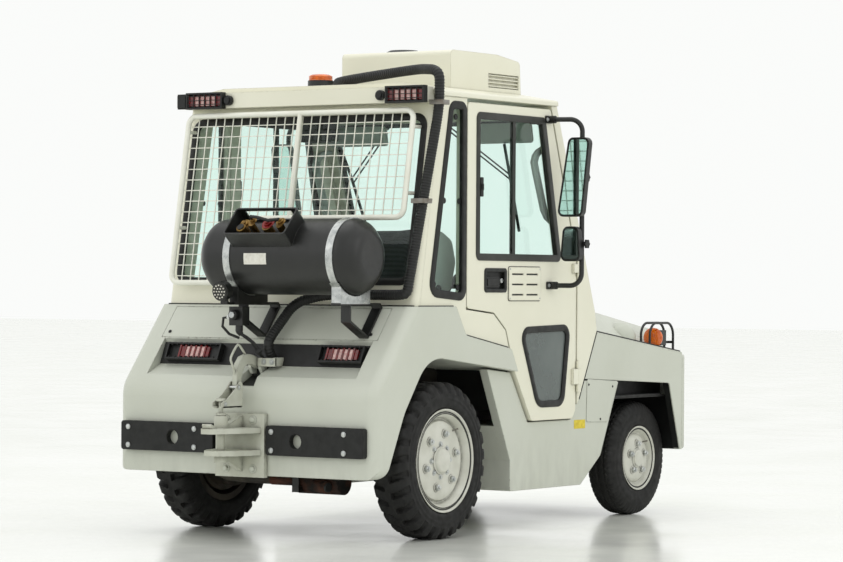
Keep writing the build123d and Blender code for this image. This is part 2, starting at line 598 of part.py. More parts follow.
COLLAR_LONG, COLLAR_WIDE, COLLAR_T = 320, 150, 7
ring_face = RectangleRounded(COLLAR_LONG, COLLAR_WIDE, 16)
ring_face -= RectangleRounded(COLLAR_LONG - 2 * COLLAR_T, COLLAR_WIDE - 2 * COLLAR_T, 9)
ring = extrude(collar_plane * ring_face, amount=COLLAR_OUT)
ring -= collar_plane * Pos(0, -COLLAR_WIDE / 2, COLLAR_OUT - 40) * Box(COLLAR_LONG - 80, 60, 54)
tank += ring - tank_room(TANK_R - 6)
keep("gas_cylinder", tank)
VALVES = (
    # along, radius, out from the skin
    (-95, 16, 45),
    (-25, 22, 36),
    (45, 13, 52),
    (100, 20, 30),
)
valves = []
upright = (Align.CENTER, Align.CENTER, Align.MIN)
for along, radius, out in VALVES:
    post = collar_plane * Pos(along, 8, TANK_R - 30) * Cylinder(radius, out + 30, align=upright)
    valves.append(post - tank_room(TANK_R + SEAT_GAP))
keep("cylinder_valves", *valves)

BASE_LOW = BODY_TOP + 4
BASE_HIGH = BASE_LOW + 10
straps, cradles = [], []
for y in CRADLE_YS:
    band = ((y - 17, SEAT_GAP), (y + 17, SEAT_GAP), (y + 17, STRAP_T), (y - 17, STRAP_T))
    straps.append(turned([(across, TANK_R + out) for across, out in band], TANK_X, TANK_Z))
    low, high = y - CRADLE_HALF, y + CRADLE_HALF
    saddle = block(TANK_X - 105, TANK_X + 105, low, high, BASE_LOW + 6, BASE_LOW + 81)
    saddle -= rod((TANK_X, low - 1, TANK_Z), (TANK_X, high + 1, TANK_Z), TANK_R + STRAP_T + SEAT_GAP)
    saddle += block(-580, -286, low, high, BASE_LOW, BASE_HIGH)
    foot_plate = [on_slope(208, SEAT_GAP), on_slope(372, SEAT_GAP), (-286, BASE_HIGH), (-296, BASE_HIGH)]
    saddle += from_side(foot_plate + [on_slope(360, 10), on_slope(208, 10)], low, high)
    brace = [on_slope(206, SEAT_GAP), on_slope(214, 9), (-500, 930), (-500, BASE_LOW + 6)]
    saddle += from_side(brace + [(-510, BASE_LOW + 6), (-510, 924)], low, high)
    cradles.append(saddle)
keep("cylinder_straps", *straps)
keep("cylinder_cradle", *cradles)

# Regulator and round work lamp on the left cradle arm.
REG_Y = CRADLE_YS[0]
regulator = block(-560, -510 - SEAT_GAP, REG_Y - 35, REG_Y + 35, 905, 985)
keep("gas_regulator", regulator + rod((-535, REG_Y, 910), (-535, REG_Y, 880), 16))
LAMP_Y, LAMP_Z = REG_Y + 16, BASE_LOW + 60
work_lamp = rod((-612, LAMP_Y, LAMP_Z), (-650, LAMP_Y, LAMP_Z - 6), 40)
work_lamp += block(-622, -580 - SEAT_GAP, LAMP_Y - 18, LAMP_Y + 18, BASE_LOW, BASE_HIGH)
work_lamp += block(-622, -612, LAMP_Y - 18, LAMP_Y + 18, BASE_LOW, LAMP_Z - 14)
keep("work_lamp", work_lamp)

# Hose from the cooling unit, over the roof corner, down the rear pillar and into the lamp shelf.
hose_line = [
    (AC_BACK - SEAT_GAP, 60, ROOF_CROWN + 27), (170, 60, ROOF_CROWN + 27),
    (10, 135 - CAB_HALF, ROOF_CROWN + 64), (-98, -CAB_HALF - 33, ROOF_CROWN + 42),
    (-102, -CAB_HALF - 33, CAB_TOP - 55), (-182, -CAB_HALF - 7, 1430),
    (-256, 23 - CAB_HALF, 1038), (-256, -230, 1038), (-335, -110, 1000), (-462, -62, 838), (-380, -62, 690),
]
hose_bends = [150, 120, 90, 160, 200, 95, 95, 80, 60]
hose = tube(hose_line, hose_bends, HOSE_R) - rear_body
hose = max(hose.solids(), key=lambda solid: solid.volume)
keep("aircon_hose", hose)
hose_room = tube(hose_line, hose_bends, HOSE_R + SEAT_GAP)
top_clip = block(-128, -62, -CAB_HALF - 59, -CAB_HALF - SEAT_GAP, CAB_TOP - 43, CAB_TOP - 23) - hose_room
clip_line = [(-214, 1424), (-214, 1444), (wall_x(1444) - 1, 1444), (wall_x(1424) - 1, 1424)]
low_clip = from_side(clip_line, -CAB_HALF - 35, 33 - CAB_HALF) - hose_room
keep("hose_clips", top_clip, low_clip)

# Seat on the right half, dashboard with the column, and steering wheel.
SEAT_Y, SEAT_HALF = -265, 235
cushion = [(150, 858), (505, 796), (548, 826), (556, 935), (530, 958), (150, 985)]
keep("seat_cushion", from_side(cushion, SEAT_Y - SEAT_HALF, SEAT_Y + SEAT_HALF, [15, 20, 30, 30, 30, 20]) - rear_body)
SEAT_FOOT = BODY_TOP + 0.5
backrest = [(15, SEAT_FOOT), (150, SEAT_FOOT), (178, SEAT_FOOT + 21.5), (132, 1335), (48, 1335)]
back_half = SEAT_HALF - 5
keep("seat_back", from_side(backrest, SEAT_Y - back_half, SEAT_Y + back_half, [10, 10, 20, 30, 30]))
COLUMN_LOW, WHEEL_AT, WHEEL_R = (1085, SEAT_Y, 870), (905, SEAT_Y, 1080), 180
dash_front, dash_high = floor_front, screen_x(960) - SCREEN_T - SEAT_GAP
dash_line = [
    (dash_front, 800), (dash_front, FENDER_TOP - 6), (dash_high, FENDER_TOP - 2), (dash_high, 956),
    (1150, 990), (1045, 975), (1030, 905), (1120, 800),
]
dash = from_side(dash_line, 8 - COWL_HALF, COWL_HALF - 8, [0, 0, 0, 0, 40, 30, 30, 0])
column_way = (Vector(WHEEL_AT) - Vector(COLUMN_LOW)).normalized()
neck = Vector(WHEEL_AT) - column_way * 45
dash += rod(COLUMN_LOW, neck, 30) + rod(COLUMN_LOW, Vector(WHEEL_AT) + column_way * 8, 12)
keep("dashboard", dash)
wheel_plane = Plane(origin=WHEEL_AT, z_dir=column_way)
grip = wheel_plane * Plane.XZ * Pos(WHEEL_R, 0) * RegularPolygon(15, 8)
rim_ring = revolve(grip, axis=Axis(WHEEL_AT, column_way))
steer_hub = wheel_plane * Pos(0, 0, -40) * Cylinder(34, 60, align=upright)
for turn in (90, 210, 330):
    steer_hub += wheel_plane * Rot(0, 0, turn) * Pos(100, 0, -4) * Box(160, 28, 10)
steer_wheel = rim_ring + steer_hub
steer_wheel -= rod(neck - column_way * 20, Vector(WHEEL_AT) + column_way * 8.3, 12 + SEAT_GAP)
keep("steering_wheel", steer_wheel)

# Engine between the rails, exhaust box below the rear end.
engine = block(COWL_X + 32, FRONT_IN - 113, 10 - RAIL_IN, RAIL_IN - 10, 350, 740)
engine_half = RAIL_IN - SEAT_GAP
engine += block(COWL_X + 132, COWL_X + 202, -engine_half, engine_half, RAIL_LOW + 15, RAIL_HIGH - 20)
keep("engine_block", engine)
exhaust = rod((-255, -320, 240), (-255, -90, 240), 52) + rod((-255, -91, 240), (-255, 60, 240), 22)
exhaust += block(-275, -235, -245, -210, 250, RAIL_LOW - SEAT_GAP)
keep("exhaust", exhaust)

# Rear axle with its bowl and drums; the stub ends carry the rims.
rear_axle = rod((0, 168 - REAR_OUT, REAR_R), (0, REAR_OUT - 168, REAR_R), 62)
rear_axle += turned([(-80, 0), (-80, 120), (-45, 148), (45, 148), (80, 120), (80, 0)], 0, REAR_R)
STUB_R = 36
for side in SIDES:
    rear_axle += rod((0, (REAR_OUT - 213) * side, REAR_R), (0, (REAR_OUT - 93) * side, REAR_R), 150)
    rear_axle += rod((0, (REAR_OUT - 98) * side, REAR_R), (0, (REAR_OUT - 14) * side, REAR_R), STUB_R)
    rear_axle += block(-70, 70, (RAIL_IN + 2) * side, (RAIL_OUT - 2) * side, REAR_R, RAIL_LOW - SEAT_GAP)
keep("rear_axle", rear_axle)

# Front axle beam with bored ends, and the knuckles that turn in them, tied by a rod behind the beam.
BEAM_HALF_X, BOSS_R, KINGPIN_R = 32, 36, 18
front_axle = Pos(WHEELBASE, 0, FRONT_R) * Box(2 * BEAM_HALF_X, 2 * (KINGPIN_Y - 28), 68)
for side in SIDES:
    y = KINGPIN_Y * side
    front_axle += rod((WHEELBASE, y, FRONT_R - 38), (WHEELBASE, y, FRONT_R + 38), BOSS_R)
    hanger = ((RAIL_IN + 2) * side, (RAIL_OUT - 2) * side)
    front_axle += block(WHEELBASE - 60, WHEELBASE + 60, *hanger, FRONT_R, RAIL_LOW - SEAT_GAP)
for side in SIDES:
    y = KINGPIN_Y * side
    front_axle -= rod((WHEELBASE, y, FRONT_R - 110), (WHEELBASE, y, FRONT_R + 110), KINGPIN_R + SEAT_GAP)
keep("front_axle", front_axle)

FRONT_STUB_R = 22
TIE_X, TIE_Z, TIE_R, TIE_EYE = WHEELBASE - 72, FRONT_R - 26, 9, 17
FORK_IN, FORK_OUT = KINGPIN_Y - 26, KINGPIN_Y + 53
knuckle = rod((WHEELBASE, KINGPIN_Y, FRONT_R - 72), (WHEELBASE, KINGPIN_Y, FRONT_R + 78), KINGPIN_R)
for low, high in ((42, 66), (-66, -42)):
    knuckle += block(WHEELBASE - 30, WHEELBASE + 30, FORK_IN, FORK_OUT, FRONT_R + low, FRONT_R + high)
knuckle += block(WHEELBASE - 30, WHEELBASE + 30, FORK_OUT - 12, FORK_OUT, FRONT_R - 66, FRONT_R + 66)
knuckle += rod((WHEELBASE, FORK_OUT - 6, FRONT_R), (WHEELBASE, FRONT_OUT - 2, FRONT_R), FRONT_STUB_R)
knuckle += block(TIE_X - 16, WHEELBASE, KINGPIN_Y - 16, KINGPIN_Y + 16, FRONT_R - 62, FRONT_R - 46)
knuckle += rod((TIE_X, KINGPIN_Y, FRONT_R - 50), (TIE_X, KINGPIN_Y, TIE_Z + 14), TIE_R)
keep("knuckle_left", knuckle)
keep("knuckle_right", flipped(knuckle))
tie_rod = rod((TIE_X, 8 - KINGPIN_Y, TIE_Z), (TIE_X, KINGPIN_Y - 8, TIE_Z), TIE_R - 1)
for side in SIDES:
    y = KINGPIN_Y * side
    tie_rod += rod((TIE_X, y, TIE_Z - 10), (TIE_X, y, TIE_Z + 10), TIE_EYE)
for side in SIDES:
    y = KINGPIN_Y * side
    tie_rod -= rod((TIE_X, y, TIE_Z - 24), (TIE_X, y, TIE_Z + 26), TIE_R + SEAT_GAP)
keep("tie_rod", tie_rod)

# Rear tyres: shoulders notched all round, so that lugs stand on both edges.
REAR_MID = (REAR_IN + REAR_OUT) / 2
RIM_R = REAR_R - 117
LUG_COUNT, LUG_DEPTH, LUG_GAP = 28, 16, 27
half_rear = [(REAR_OUT - 22, REAR_R), (REAR_OUT, REAR_R - 42)]
half_rear += [(REAR_OUT, RIM_R + 16), (REAR_OUT - 16, RIM_R)]
rear_line = [(2 * REAR_MID - y, r) for y, r in reversed(half_rear)] + half_rear
rear_tyre = turned(rear_line, 0, REAR_R)
notches = []
for step in range(LUG_COUNT):
    for edge_side, start in ((-1, 0), (1, 0.5)):
        turn = 360 * (step + start) / LUG_COUNT
        deep = REAR_R - LUG_DEPTH + 30
        cut = Pos(0, REAR_MID + edge_side * 70, deep) * Rot(0, 0, edge_side * 20) * Box(LUG_GAP, 84, 60)
        notches.append(Pos(0, 0, REAR_R) * Rot(0, turn, 0) * cut)
rear_tyre = rear_tyre - notches
keep("rear_tyre_left", rear_tyre)
keep("rear_tyre_right", flipped(rear_tyre))

# Front tyres, plain with rounded shoulders.
FRONT_MID = (FRONT_IN_Y + FRONT_OUT) / 2
FRONT_RIM_R = FRONT_R - 118
half_front_tyre = [
    (FRONT_OUT - 34, FRONT_R), (FRONT_OUT - 14, FRONT_R - 22), (FRONT_OUT, FRONT_R - 62),
    (FRONT_OUT, FRONT_RIM_R + 18), (FRONT_OUT - 12, FRONT_RIM_R),
]
front_line = [(2 * FRONT_MID - y, r) for y, r in reversed(half_front_tyre)] + half_front_tyre
front_tyre = turned(front_line, WHEELBASE, FRONT_R)
keep("front_tyre_left", front_tyre)
keep("front_tyre_right", flipped(front_tyre))


def rim(x, z, inner, outer, seat, disc, bore, nuts, nut_ring):
    """Wheel rim: barrel, dished disc, bored hub and a ring of nuts."""
    wall = 15
    low, high = seat - wall, seat - SEAT_GAP
    wheel = turned([(inner, low), (inner, high), (outer, high), (outer, low)], x, z)
    web, step_in = low + 2, nut_ring + 20
    dish = [(disc - 6, bore), (disc - 6, step_in), (disc - 20, web), (disc - 8, web)]
    wheel += turned(dish + [(disc + 6, step_in + 2), (disc + 6, bore)], x, z)
    hub = [(disc - 14, bore), (disc - 14, bore * 1.7), (disc + 18, bore * 1.6), (disc + 18, bore)]
    wheel += turned(hub, x, z)
    for step in range(nuts):
        turn = radians(360 * (step + 0.25) / nuts)
        at = (x + nut_ring * cos(turn), z + nut_ring * sin(turn))
        wheel += rod((at[0], disc, at[1]), (at[0], disc + 18, at[1]), 13)
    return wheel


rear_span = (REAR_IN + 16, REAR_OUT - 16)
rear_rim = rim(0, REAR_R, *rear_span, RIM_R, REAR_OUT - 40, STUB_R + SEAT_GAP, 6, 117)
keep("rear_rim_left", rear_rim)
keep("rear_rim_right", flipped(rear_rim))
front_disc = FRONT_OUT - 18
front_span = (FRONT_IN_Y + 14, FRONT_OUT - 10)
front_rim = rim(WHEELBASE, FRONT_R, *front_span, FRONT_RIM_R, front_disc - 4, FRONT_STUB_R + SEAT_GAP, 5, 70)
keep("front_rim_left", front_rim)
keep("front_rim_right", flipped(front_rim))

# Doors, hung at the front edge, with a sliding window, a low window, a handle recess and a slotted plate.
DOOR_IN, DOOR_OUT = SIDE_IN, SIDE_OUT
DOOR_BACK, DOOR_FRONT = QUARTER_FRONT + 6, HINGE_X - 6
door_line = [
    (DOOR_BACK, DOOR_TOP), (DOOR_BACK, 982), (391, 962), (490, 888), (562, 704), (705, 481), (1056, 481),
    (DOOR_FRONT, 520), (DOOR_FRONT, 1192), (screen_x(DOOR_TOP) - 61, DOOR_TOP),
]
WINDOW_TOP, WINDOW_LOW = CAB_TOP - 59, 1192
window_back = DOOR_BACK + 73
window = [
    (window_back, WINDOW_TOP), (window_back, WINDOW_LOW),
    (screen_x(WINDOW_LOW) - 219, WINDOW_LOW), (screen_x(WINDOW_TOP) - 125, WINDOW_TOP),
]
low_window = [(614, 884), (756, 552), (968, 552), (1018, 894)]
WINDOW_ROUND = [25, 25, 25, 25]
LOW_ROUND = [40, 60, 50, 40]
door = from_side(door_line, DOOR_IN, DOOR_OUT, [20, 20, 20, 20, 0, 30, 20, 25, 60, 20])
door -= from_side(window, DOOR_IN - 10, DOOR_OUT + 10, WINDOW_ROUND)
door -= from_side(low_window, DOOR_IN - 10, DOOR_OUT + 10, LOW_ROUND)
handle = [(315, 1056), (315, 1150), (485, 1150), (485, 1056)]
door -= from_side(handle, DOOR_OUT - 18, DOOR_OUT + 1, 12)
VENT_BACK, VENT_FRONT, VENT_LOW, VENT_HIGH = 505, 770, 1015, 1162
vent_line = [(VENT_BACK, VENT_LOW), (VENT_BACK, VENT_HIGH), (VENT_FRONT, VENT_HIGH), (VENT_FRONT, VENT_LOW)]
vent = from_side(vent_line, DOOR_OUT - 1, DOOR_OUT + 5, 10)
for column in (VENT_BACK + 24, VENT_BACK + 144):
    for step in range(3):
        low = VENT_LOW + 22 + step * 45
        vent -= block(column, column + 94, DOOR_OUT, DOOR_OUT + 6, low, low + 7)
door += vent
for low, high in ((635, 705), (1140, 1180)):
    door += rod((HINGE_X, HINGE_Y, low), (HINGE_X, HINGE_Y, high), HINGE_R)
    leaf = block(HINGE_X - 45, HINGE_X, DOOR_OUT - 2, HINGE_Y + 6, low, high)
    door += leaf - block(HINGE_X - 5, HINGE_X, 0, HINGE_Y - 3, low, high)
panes = [
    from_side(window, DOOR_OUT - 16 - GLASS_T, DOOR_OUT - 16, WINDOW_ROUND),
    from_side(low_window, DOOR_OUT - 14 - GLASS_T, DOOR_OUT - 14, LOW_ROUND),
]
keep("door_left", door)
keep("door_right", flipped(door))
keep("door_left_glass", *panes)
keep("door_right_glass", *[flipped(pane) for pane in panes])

# Mirrors on a bent tube that the door carries: a tall head and a small one below it.
ARM_OUT, ARM_HIGH, ARM_LOW, ARM_R = CAB_HALF + 154, CAB_TOP - 63, 1082, 11
arm_foot, arm_bend = DOOR_OUT + SEAT_GAP, DOOR_OUT + 45
arm = [
    (832, arm_foot, ARM_HIGH), (832, arm_bend, ARM_HIGH), (872, ARM_OUT, ARM_HIGH),
    (872, ARM_OUT, ARM_LOW), (852, arm_bend, ARM_LOW), (852, arm_foot, ARM_LOW),
]
mirrors = tube(arm, [40, 55, 55, 40], ARM_R)
HEADS = (
    # inner and outer y from the door, low and high, then top from the arm and height
    (54, 184, 112, 221, -82, 352),
    (71, 175, 86, 164, -477, 155),
)
HEAD_BACK, HEAD_T, BEZEL = 822, 30, 9
for low_in, low_out, high_in, high_out, top, tall in HEADS:
    high = ARM_HIGH + top
    low = high - tall
    foot = ((low_in, low), (low_out, low), (high_out, high), (high_in, high))
    outline = [(DOOR_OUT + y, z) for y, z in foot]
    head = from_back(outline, HEAD_BACK, HEAD_BACK + HEAD_T, 28)
    foot = ((low_in + BEZEL, low + BEZEL), (low_out - BEZEL, low + BEZEL))
    foot += ((high_out - BEZEL, high - BEZEL), (high_in + BEZEL, high - BEZEL))
    outline = [(DOOR_OUT + y, z) for y, z in foot]
    head -= from_back(outline, HEAD_BACK - 1, HEAD_BACK + 4, 20)
    middle = (low + high) / 2
    mirrors += head + block(HEAD_BACK + 28, 870, ARM_OUT - 14, ARM_OUT + 14, middle - 24, middle + 24)
keep("mirror_left", mirrors)
keep("mirror_right", flipped(mirrors))
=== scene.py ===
import math

import bmesh
import bpy
from mathutils import Matrix, Vector


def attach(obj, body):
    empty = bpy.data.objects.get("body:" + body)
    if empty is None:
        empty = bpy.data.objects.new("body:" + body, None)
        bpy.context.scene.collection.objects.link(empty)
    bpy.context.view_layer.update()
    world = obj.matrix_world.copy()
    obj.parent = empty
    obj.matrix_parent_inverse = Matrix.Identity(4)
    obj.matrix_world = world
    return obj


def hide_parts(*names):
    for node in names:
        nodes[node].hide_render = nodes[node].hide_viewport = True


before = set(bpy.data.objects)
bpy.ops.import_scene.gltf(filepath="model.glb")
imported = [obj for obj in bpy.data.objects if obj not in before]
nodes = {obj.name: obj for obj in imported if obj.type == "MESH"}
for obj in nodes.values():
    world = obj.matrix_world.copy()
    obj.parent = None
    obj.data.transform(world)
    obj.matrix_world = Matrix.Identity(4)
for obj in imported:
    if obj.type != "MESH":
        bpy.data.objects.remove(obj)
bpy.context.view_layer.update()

# Lengths are millimetres with X from the rear axle, as in the part's source.
# Those of materials, seat padding, light and camera are metres.
MM = 0.001
MIDDLE = 664.5
SIDES = (("left", 1), ("right", -1))
CAB_HALF = 655
SKIRT_HALF = 638
REAR_OUT, REAR_R, REAR_MID = 668, 335, 579
FRONT_OUT, FRONT_R, FRONT_MID, WHEELBASE = 570, 268, 495, 1815


def at(x, y, z):
    """Point of the shared frame in metres."""
    return Vector(((x - MIDDLE) / 1000, y / 1000, z / 1000))


def around(x, y, z, reach, angle):
    """Point at a reach and an angle round a line across the vehicle."""
    return at(x + reach * math.cos(angle), y, z + reach * math.sin(angle))


def wall_x(z):
    """Outer face of the cab's rear wall."""
    return -228 + (z - 1000) * 0.173


def screen_x(z):
    """Outer face of the windscreen frame."""
    return 1252 - (z - 960) * 0.3751


def on_shelf(along, out):
    """Point in X and Z on the back wall of the lamp shelf."""
    return (-420 + 0.4018 * along - 0.9157 * out, 730 + 0.9157 * along + 0.4018 * out)


# Materials.
def linear(red, green, blue):
    """Display colour from 0 to 255 as linear light, with full alpha."""
    return tuple((c / 255) ** 2.2 for c in (red, green, blue)) + (1.0,)


class Surface:
    """One procedural material: broad and fine noise drive colour, roughness and relief."""

    def __init__(self, name, **sockets):
        self.material = bpy.data.materials.new(name)
        self.material.use_nodes = True
        self.tree = self.material.node_tree
        self.shader = self.tree.nodes["Principled BSDF"]
        for socket, value in sockets.items():
            self.shader.inputs[socket.replace("_", " ")].default_value = value
        self.place = self.add("ShaderNodeTexCoord").outputs["Object"]
        self.normal = None

    def add(self, kind, **settings):
        node = self.tree.nodes.new(kind)
        for key, value in settings.items():
            setattr(node, key, value)
        return node

    def link(self, start, end):
        self.tree.links.new(start, end)

    def noise(self, scale, detail=5.0, stretch=(1, 1, 1)):
        place = self.place
        if stretch != (1, 1, 1):
            mapping = self.add("ShaderNodeMapping")
            mapping.inputs["Scale"].default_value = stretch
            self.link(place, mapping.inputs["Vector"])
            place = mapping.outputs["Vector"]
        node = self.add("ShaderNodeTexNoise")
        node.inputs["Scale"].default_value = scale
        node.inputs["Detail"].default_value = detail
        self.link(place, node.inputs["Vector"])
        return node.outputs["Fac"]

    def span(self, value, low, high, to_low=0.0, to_high=1.0):
        node = self.add("ShaderNodeMapRange")
        for socket, number in zip(
            ("From Min", "From Max", "To Min", "To Max"), (low, high, to_low, to_high),
        ):
            node.inputs[socket].default_value = number
        self.link(value, node.inputs["Value"])
        return node.outputs["Result"]

    def times(self, one, two):
        node = self.add("ShaderNodeMath", operation="MULTIPLY")
        self.link(one, node.inputs[0])
        self.link(two, node.inputs[1])
        return node.outputs["Value"]

    def mix(self, factor, one, two):
        node = self.add("ShaderNodeMix", data_type="RGBA")
        self.link(factor, node.inputs[0])
        for socket, colour in ((node.inputs[6], one), (node.inputs[7], two)):
            if isinstance(colour, tuple):
                socket.default_value = linear(*colour)
            else:
                self.link(colour, socket)
        return node.outputs[2]

    def colour(self, one, two, scale=2.2, low=0.35, high=0.7):
        self.tint = self.mix(self.span(self.noise(scale), low, high), one, two)
        return self

    def rough(self, low, high, scale=30.0):
        self.link(self.span(self.noise(scale), 0.3, 0.7, low, high), self.shader.inputs["Roughness"])
        return self

    def soften(self, radius):
        node = self.add("ShaderNodeBevel", samples=4)
        node.inputs["Radius"].default_value = radius
        self.normal = node.outputs["Normal"]
        return self

    def wear(self, colour, scale=55.0, amount=0.8):
        """Rubbed paint along edges, from how far the softened normal leaves the flat one."""
        dot = self.add("ShaderNodeVectorMath", operation="DOT_PRODUCT")
        self.link(self.normal, dot.inputs[0])
        self.link(self.add("ShaderNodeNewGeometry").outputs["Normal"], dot.inputs[1])
        edge = self.span(dot.outputs["Value"], 0.995, 0.85)
        patch = self.span(self.noise(scale), 0.52, 0.66, 0.0, amount)
        self.tint = self.mix(self.times(edge, patch), self.tint, colour)
        return self

    def low_dirt(self, colour, height, amount=0.6, scale=9.0):
        """Dirt that thickens towards the ground."""
        split = self.add("ShaderNodeSeparateXYZ")
        self.link(self.place, split.inputs["Vector"])
        low = self.span(split.outputs["Z"], height, 0.05)
        patch = self.span(self.noise(scale, 7.0, (1, 1, 0.35)), 0.38, 0.72, 0.0, amount)
        self.tint = self.mix(self.times(low, patch), self.tint, colour)
        return self

    def crevice_shade_and_grime(self, colour, reach, amount):
        """Painted shade where surfaces meet, from an ambient-occlusion mask, mixed with grime; a lighter
        colour paints dust instead.
        """
        # The occlusion mask darkens where shade falls: painted shade, partly grime.
        node = self.add("ShaderNodeAmbientOcclusion", samples=6)
        node.inputs["Distance"].default_value = reach
        deep = self.span(node.outputs["AO"], 0.85, 0.35, 0.0, amount)
        patch = self.span(self.noise(40.0), 0.3, 0.6, 0.45, 1.0)
        self.tint = self.mix(self.times(deep, patch), self.tint, colour)
        return self

    def relief(self, scale, depth):
        node = self.add("ShaderNodeBump")
        node.inputs["Strength"].default_value = 0.6
        node.inputs["Distance"].default_value = depth
        self.link(self.noise(scale, 3.0), node.inputs["Height"])
        if self.normal:
            self.link(self.normal, node.inputs["Normal"])
        self.normal = node.outputs["Normal"]
        return self

    def done(self):
        self.link(self.tint, self.shader.inputs["Base Color"])
        if self.normal:
            self.link(self.normal, self.shader.inputs["Normal"])
        return self.material


def plain(name, one, two, scale, rough, relief=None, **sockets):
    """Material of two colours with a span of roughness and, if given, relief."""
    surface = Surface(name, **sockets).colour(one, two, scale).rough(*rough)
    if relief:
        surface.relief(*relief)
    return surface.done()


# Dirt colour, also used for painted shade in crevices.
GRIME_AND_SHADE = (70, 66, 55)
body_paint = (
    Surface("body_paint", Coat_Weight=0.12, Coat_Roughness=0.25)
    .colour((203, 206, 194), (197, 200, 187))
    # The crevice colour is painted shade with grime where surfaces meet.
    .soften(0.006).wear((120, 112, 96)).low_dirt(GRIME_AND_SHADE, 0.45, 0.22, 22).crevice_shade_and_grime(GRIME_AND_SHADE, 0.02, 0.4)
    .rough(0.36, 0.5).relief(160, 0.0004).done()
)
cab_paint = (
    Surface("cab_paint", Coat_Weight=0.18, Coat_Roughness=0.2)
    .colour((233, 231, 212), (228, 226, 206))
    # The crevice colour is painted shade with grime where surfaces meet.
    .soften(0.006).wear((176, 168, 140), amount=0.5).crevice_shade_and_grime(GRIME_AND_SHADE, 0.015, 0.35)
    .rough(0.3, 0.42).relief(140, 0.0003).done()
)
guard_paint = (
    Surface("guard_paint", Coat_Weight=0.1)
    .colour((240, 240, 228), (232, 231, 217), 8)
    .soften(0.002).wear((176, 168, 140), 70, 0.4).rough(0.32, 0.46).relief(180, 0.0003).done()
)
hitch_paint = (
    Surface("hitch_paint")
    .colour((198, 200, 187), (182, 183, 168), 14)
    # The crevice colour is painted shade with grime in the coupler's hollows.
    .soften(0.004).wear((92, 78, 62), 38, 1.0).crevice_shade_and_grime(GRIME_AND_SHADE, 0.03, 0.7)
    .rough(0.42, 0.62).relief(90, 0.0012).done()
)
black_paint = (
    Surface("black_paint", Coat_Weight=0.1)
    .colour((24, 25, 24), (33, 34, 32), 6)
    .soften(0.003).wear((96, 96, 92), 60, 0.5).rough(0.32, 0.48).relief(220, 0.0003).done()
)
tank_paint = (
    Surface("tank_paint", Coat_Weight=0.15, Coat_Roughness=0.3)
    .colour((20, 21, 20), (27, 28, 26), 5)
    .soften(0.004).wear((120, 120, 112), 70, 0.4).rough(0.34, 0.46).relief(260, 0.0005).done()
)
chassis_steel = (
    Surface("chassis_steel")
    .colour((36, 34, 31), (58, 52, 44), 7).soften(0.004)
    .low_dirt((92, 84, 70), 0.6, 0.7).rough(0.55, 0.8).relief(70, 0.001).done()
)
black_plastic = (
    Surface("black_plastic")
    .colour((20, 21, 20), (27, 28, 27), 9).soften(0.002)
    .rough(0.42, 0.58).relief(420, 0.0003).done()
)
pad_rubber = (
    Surface("pad_rubber")
    .colour((15, 17, 16), (23, 24, 22), 5).soften(0.005)
    .wear((80, 80, 76), 45, 0.6).rough(0.5, 0.68).relief(120, 0.0006).done()
)
gasket_rubber = plain("gasket_rubber", (17, 18, 17), (25, 26, 24), 12, (0.45, 0.62), (300, 0.0003))
tyre_rubber = (
    Surface("tyre_rubber")
    .colour((13, 13, 12), (21, 20, 18), 6)
    .crevice_shade_and_grime((44, 41, 36), 0.012, 0.4).rough(0.6, 0.82).relief(150, 0.0008).done()
)
rim_paint = (
    Surface("rim_paint")
    .colour((214, 214, 204), (196, 196, 184), 12)
    # The dark crevice colour is painted shade in the rim's dish and round its nuts, with dirt.
    .soften(0.002).wear((110, 98, 82), 60, 0.9).crevice_shade_and_grime((52, 48, 40), 0.02, 0.95)
    .rough(0.34, 0.52).relief(110, 0.0006).done()
)
zinc = plain("zinc", (206, 208, 206), (170, 174, 174), 40, (0.24, 0.42, 60), (200, 0.0003), Metallic=0.9)
worn_steel = plain(
    "worn_steel", (150, 148, 142), (108, 98, 86), 25, (0.3, 0.55, 60), (160, 0.0005), Metallic=0.9,
)
rust = (
    Surface("rust", Metallic=0.2)
    .colour((34, 32, 30), (88, 54, 40), 9, 0.46, 0.62).rough(0.7, 0.95).relief(60, 0.002).done()
)
brass = plain("brass", (150, 120, 70), (104, 80, 46), 60, (0.26, 0.45, 80), (240, 0.0003), Metallic=0.9)
dark_metal = (
    Surface("dark_metal", Metallic=0.35)
    .colour((52, 53, 50), (64, 64, 61), 10).soften(0.0015).rough(0.38, 0.5).relief(300, 0.0002).done()
)
red_plastic = plain("red_plastic", (150, 26, 22), (112, 18, 16), 30, (0.3, 0.45))
red_lens = plain(
    "red_lens", (116, 18, 22), (84, 10, 14), 60, (0.12, 0.25), Coat_Weight=0.5, Coat_Roughness=0.08,
)
pink_lens = plain(
    "pink_lens", (222, 186, 180), (186, 132, 128), 90, (0.1, 0.22), Coat_Weight=0.5, Coat_Roughness=0.08,
)
amber_lens = (
    Surface(
        "amber_lens", Coat_Weight=0.6, Coat_Roughness=0.06, Emission_Color=linear(255, 120, 10),
        Emission_Strength=0.03,
    )
    .colour((222, 108, 22), (184, 76, 10), 45).rough(0.12, 0.24).done()
)
clear_lens = plain(
    "clear_lens", (226, 232, 230), (206, 214, 212), 30, (0.06, 0.14), Alpha=0.45, Coat_Weight=0.4,
)
silver = plain("silver_reflector", (232, 234, 232), (208, 212, 210), 80, (0.08, 0.2), Metallic=1.0)
mirror_glass = plain("mirror_glass", (206, 226, 220), (196, 218, 212), 8, (0.015, 0.035), Metallic=1.0)
glass = plain(
    "window_glass", (240, 252, 248), (237, 251, 246), 3, (0.0, 0.02), Transmission_Weight=1.0, IOR=1.25,
)
smoked_glass = plain("smoked_glass", (118, 126, 124), (104, 112, 110), 4, (0.03, 0.08), Alpha=0.72, IOR=1.5)
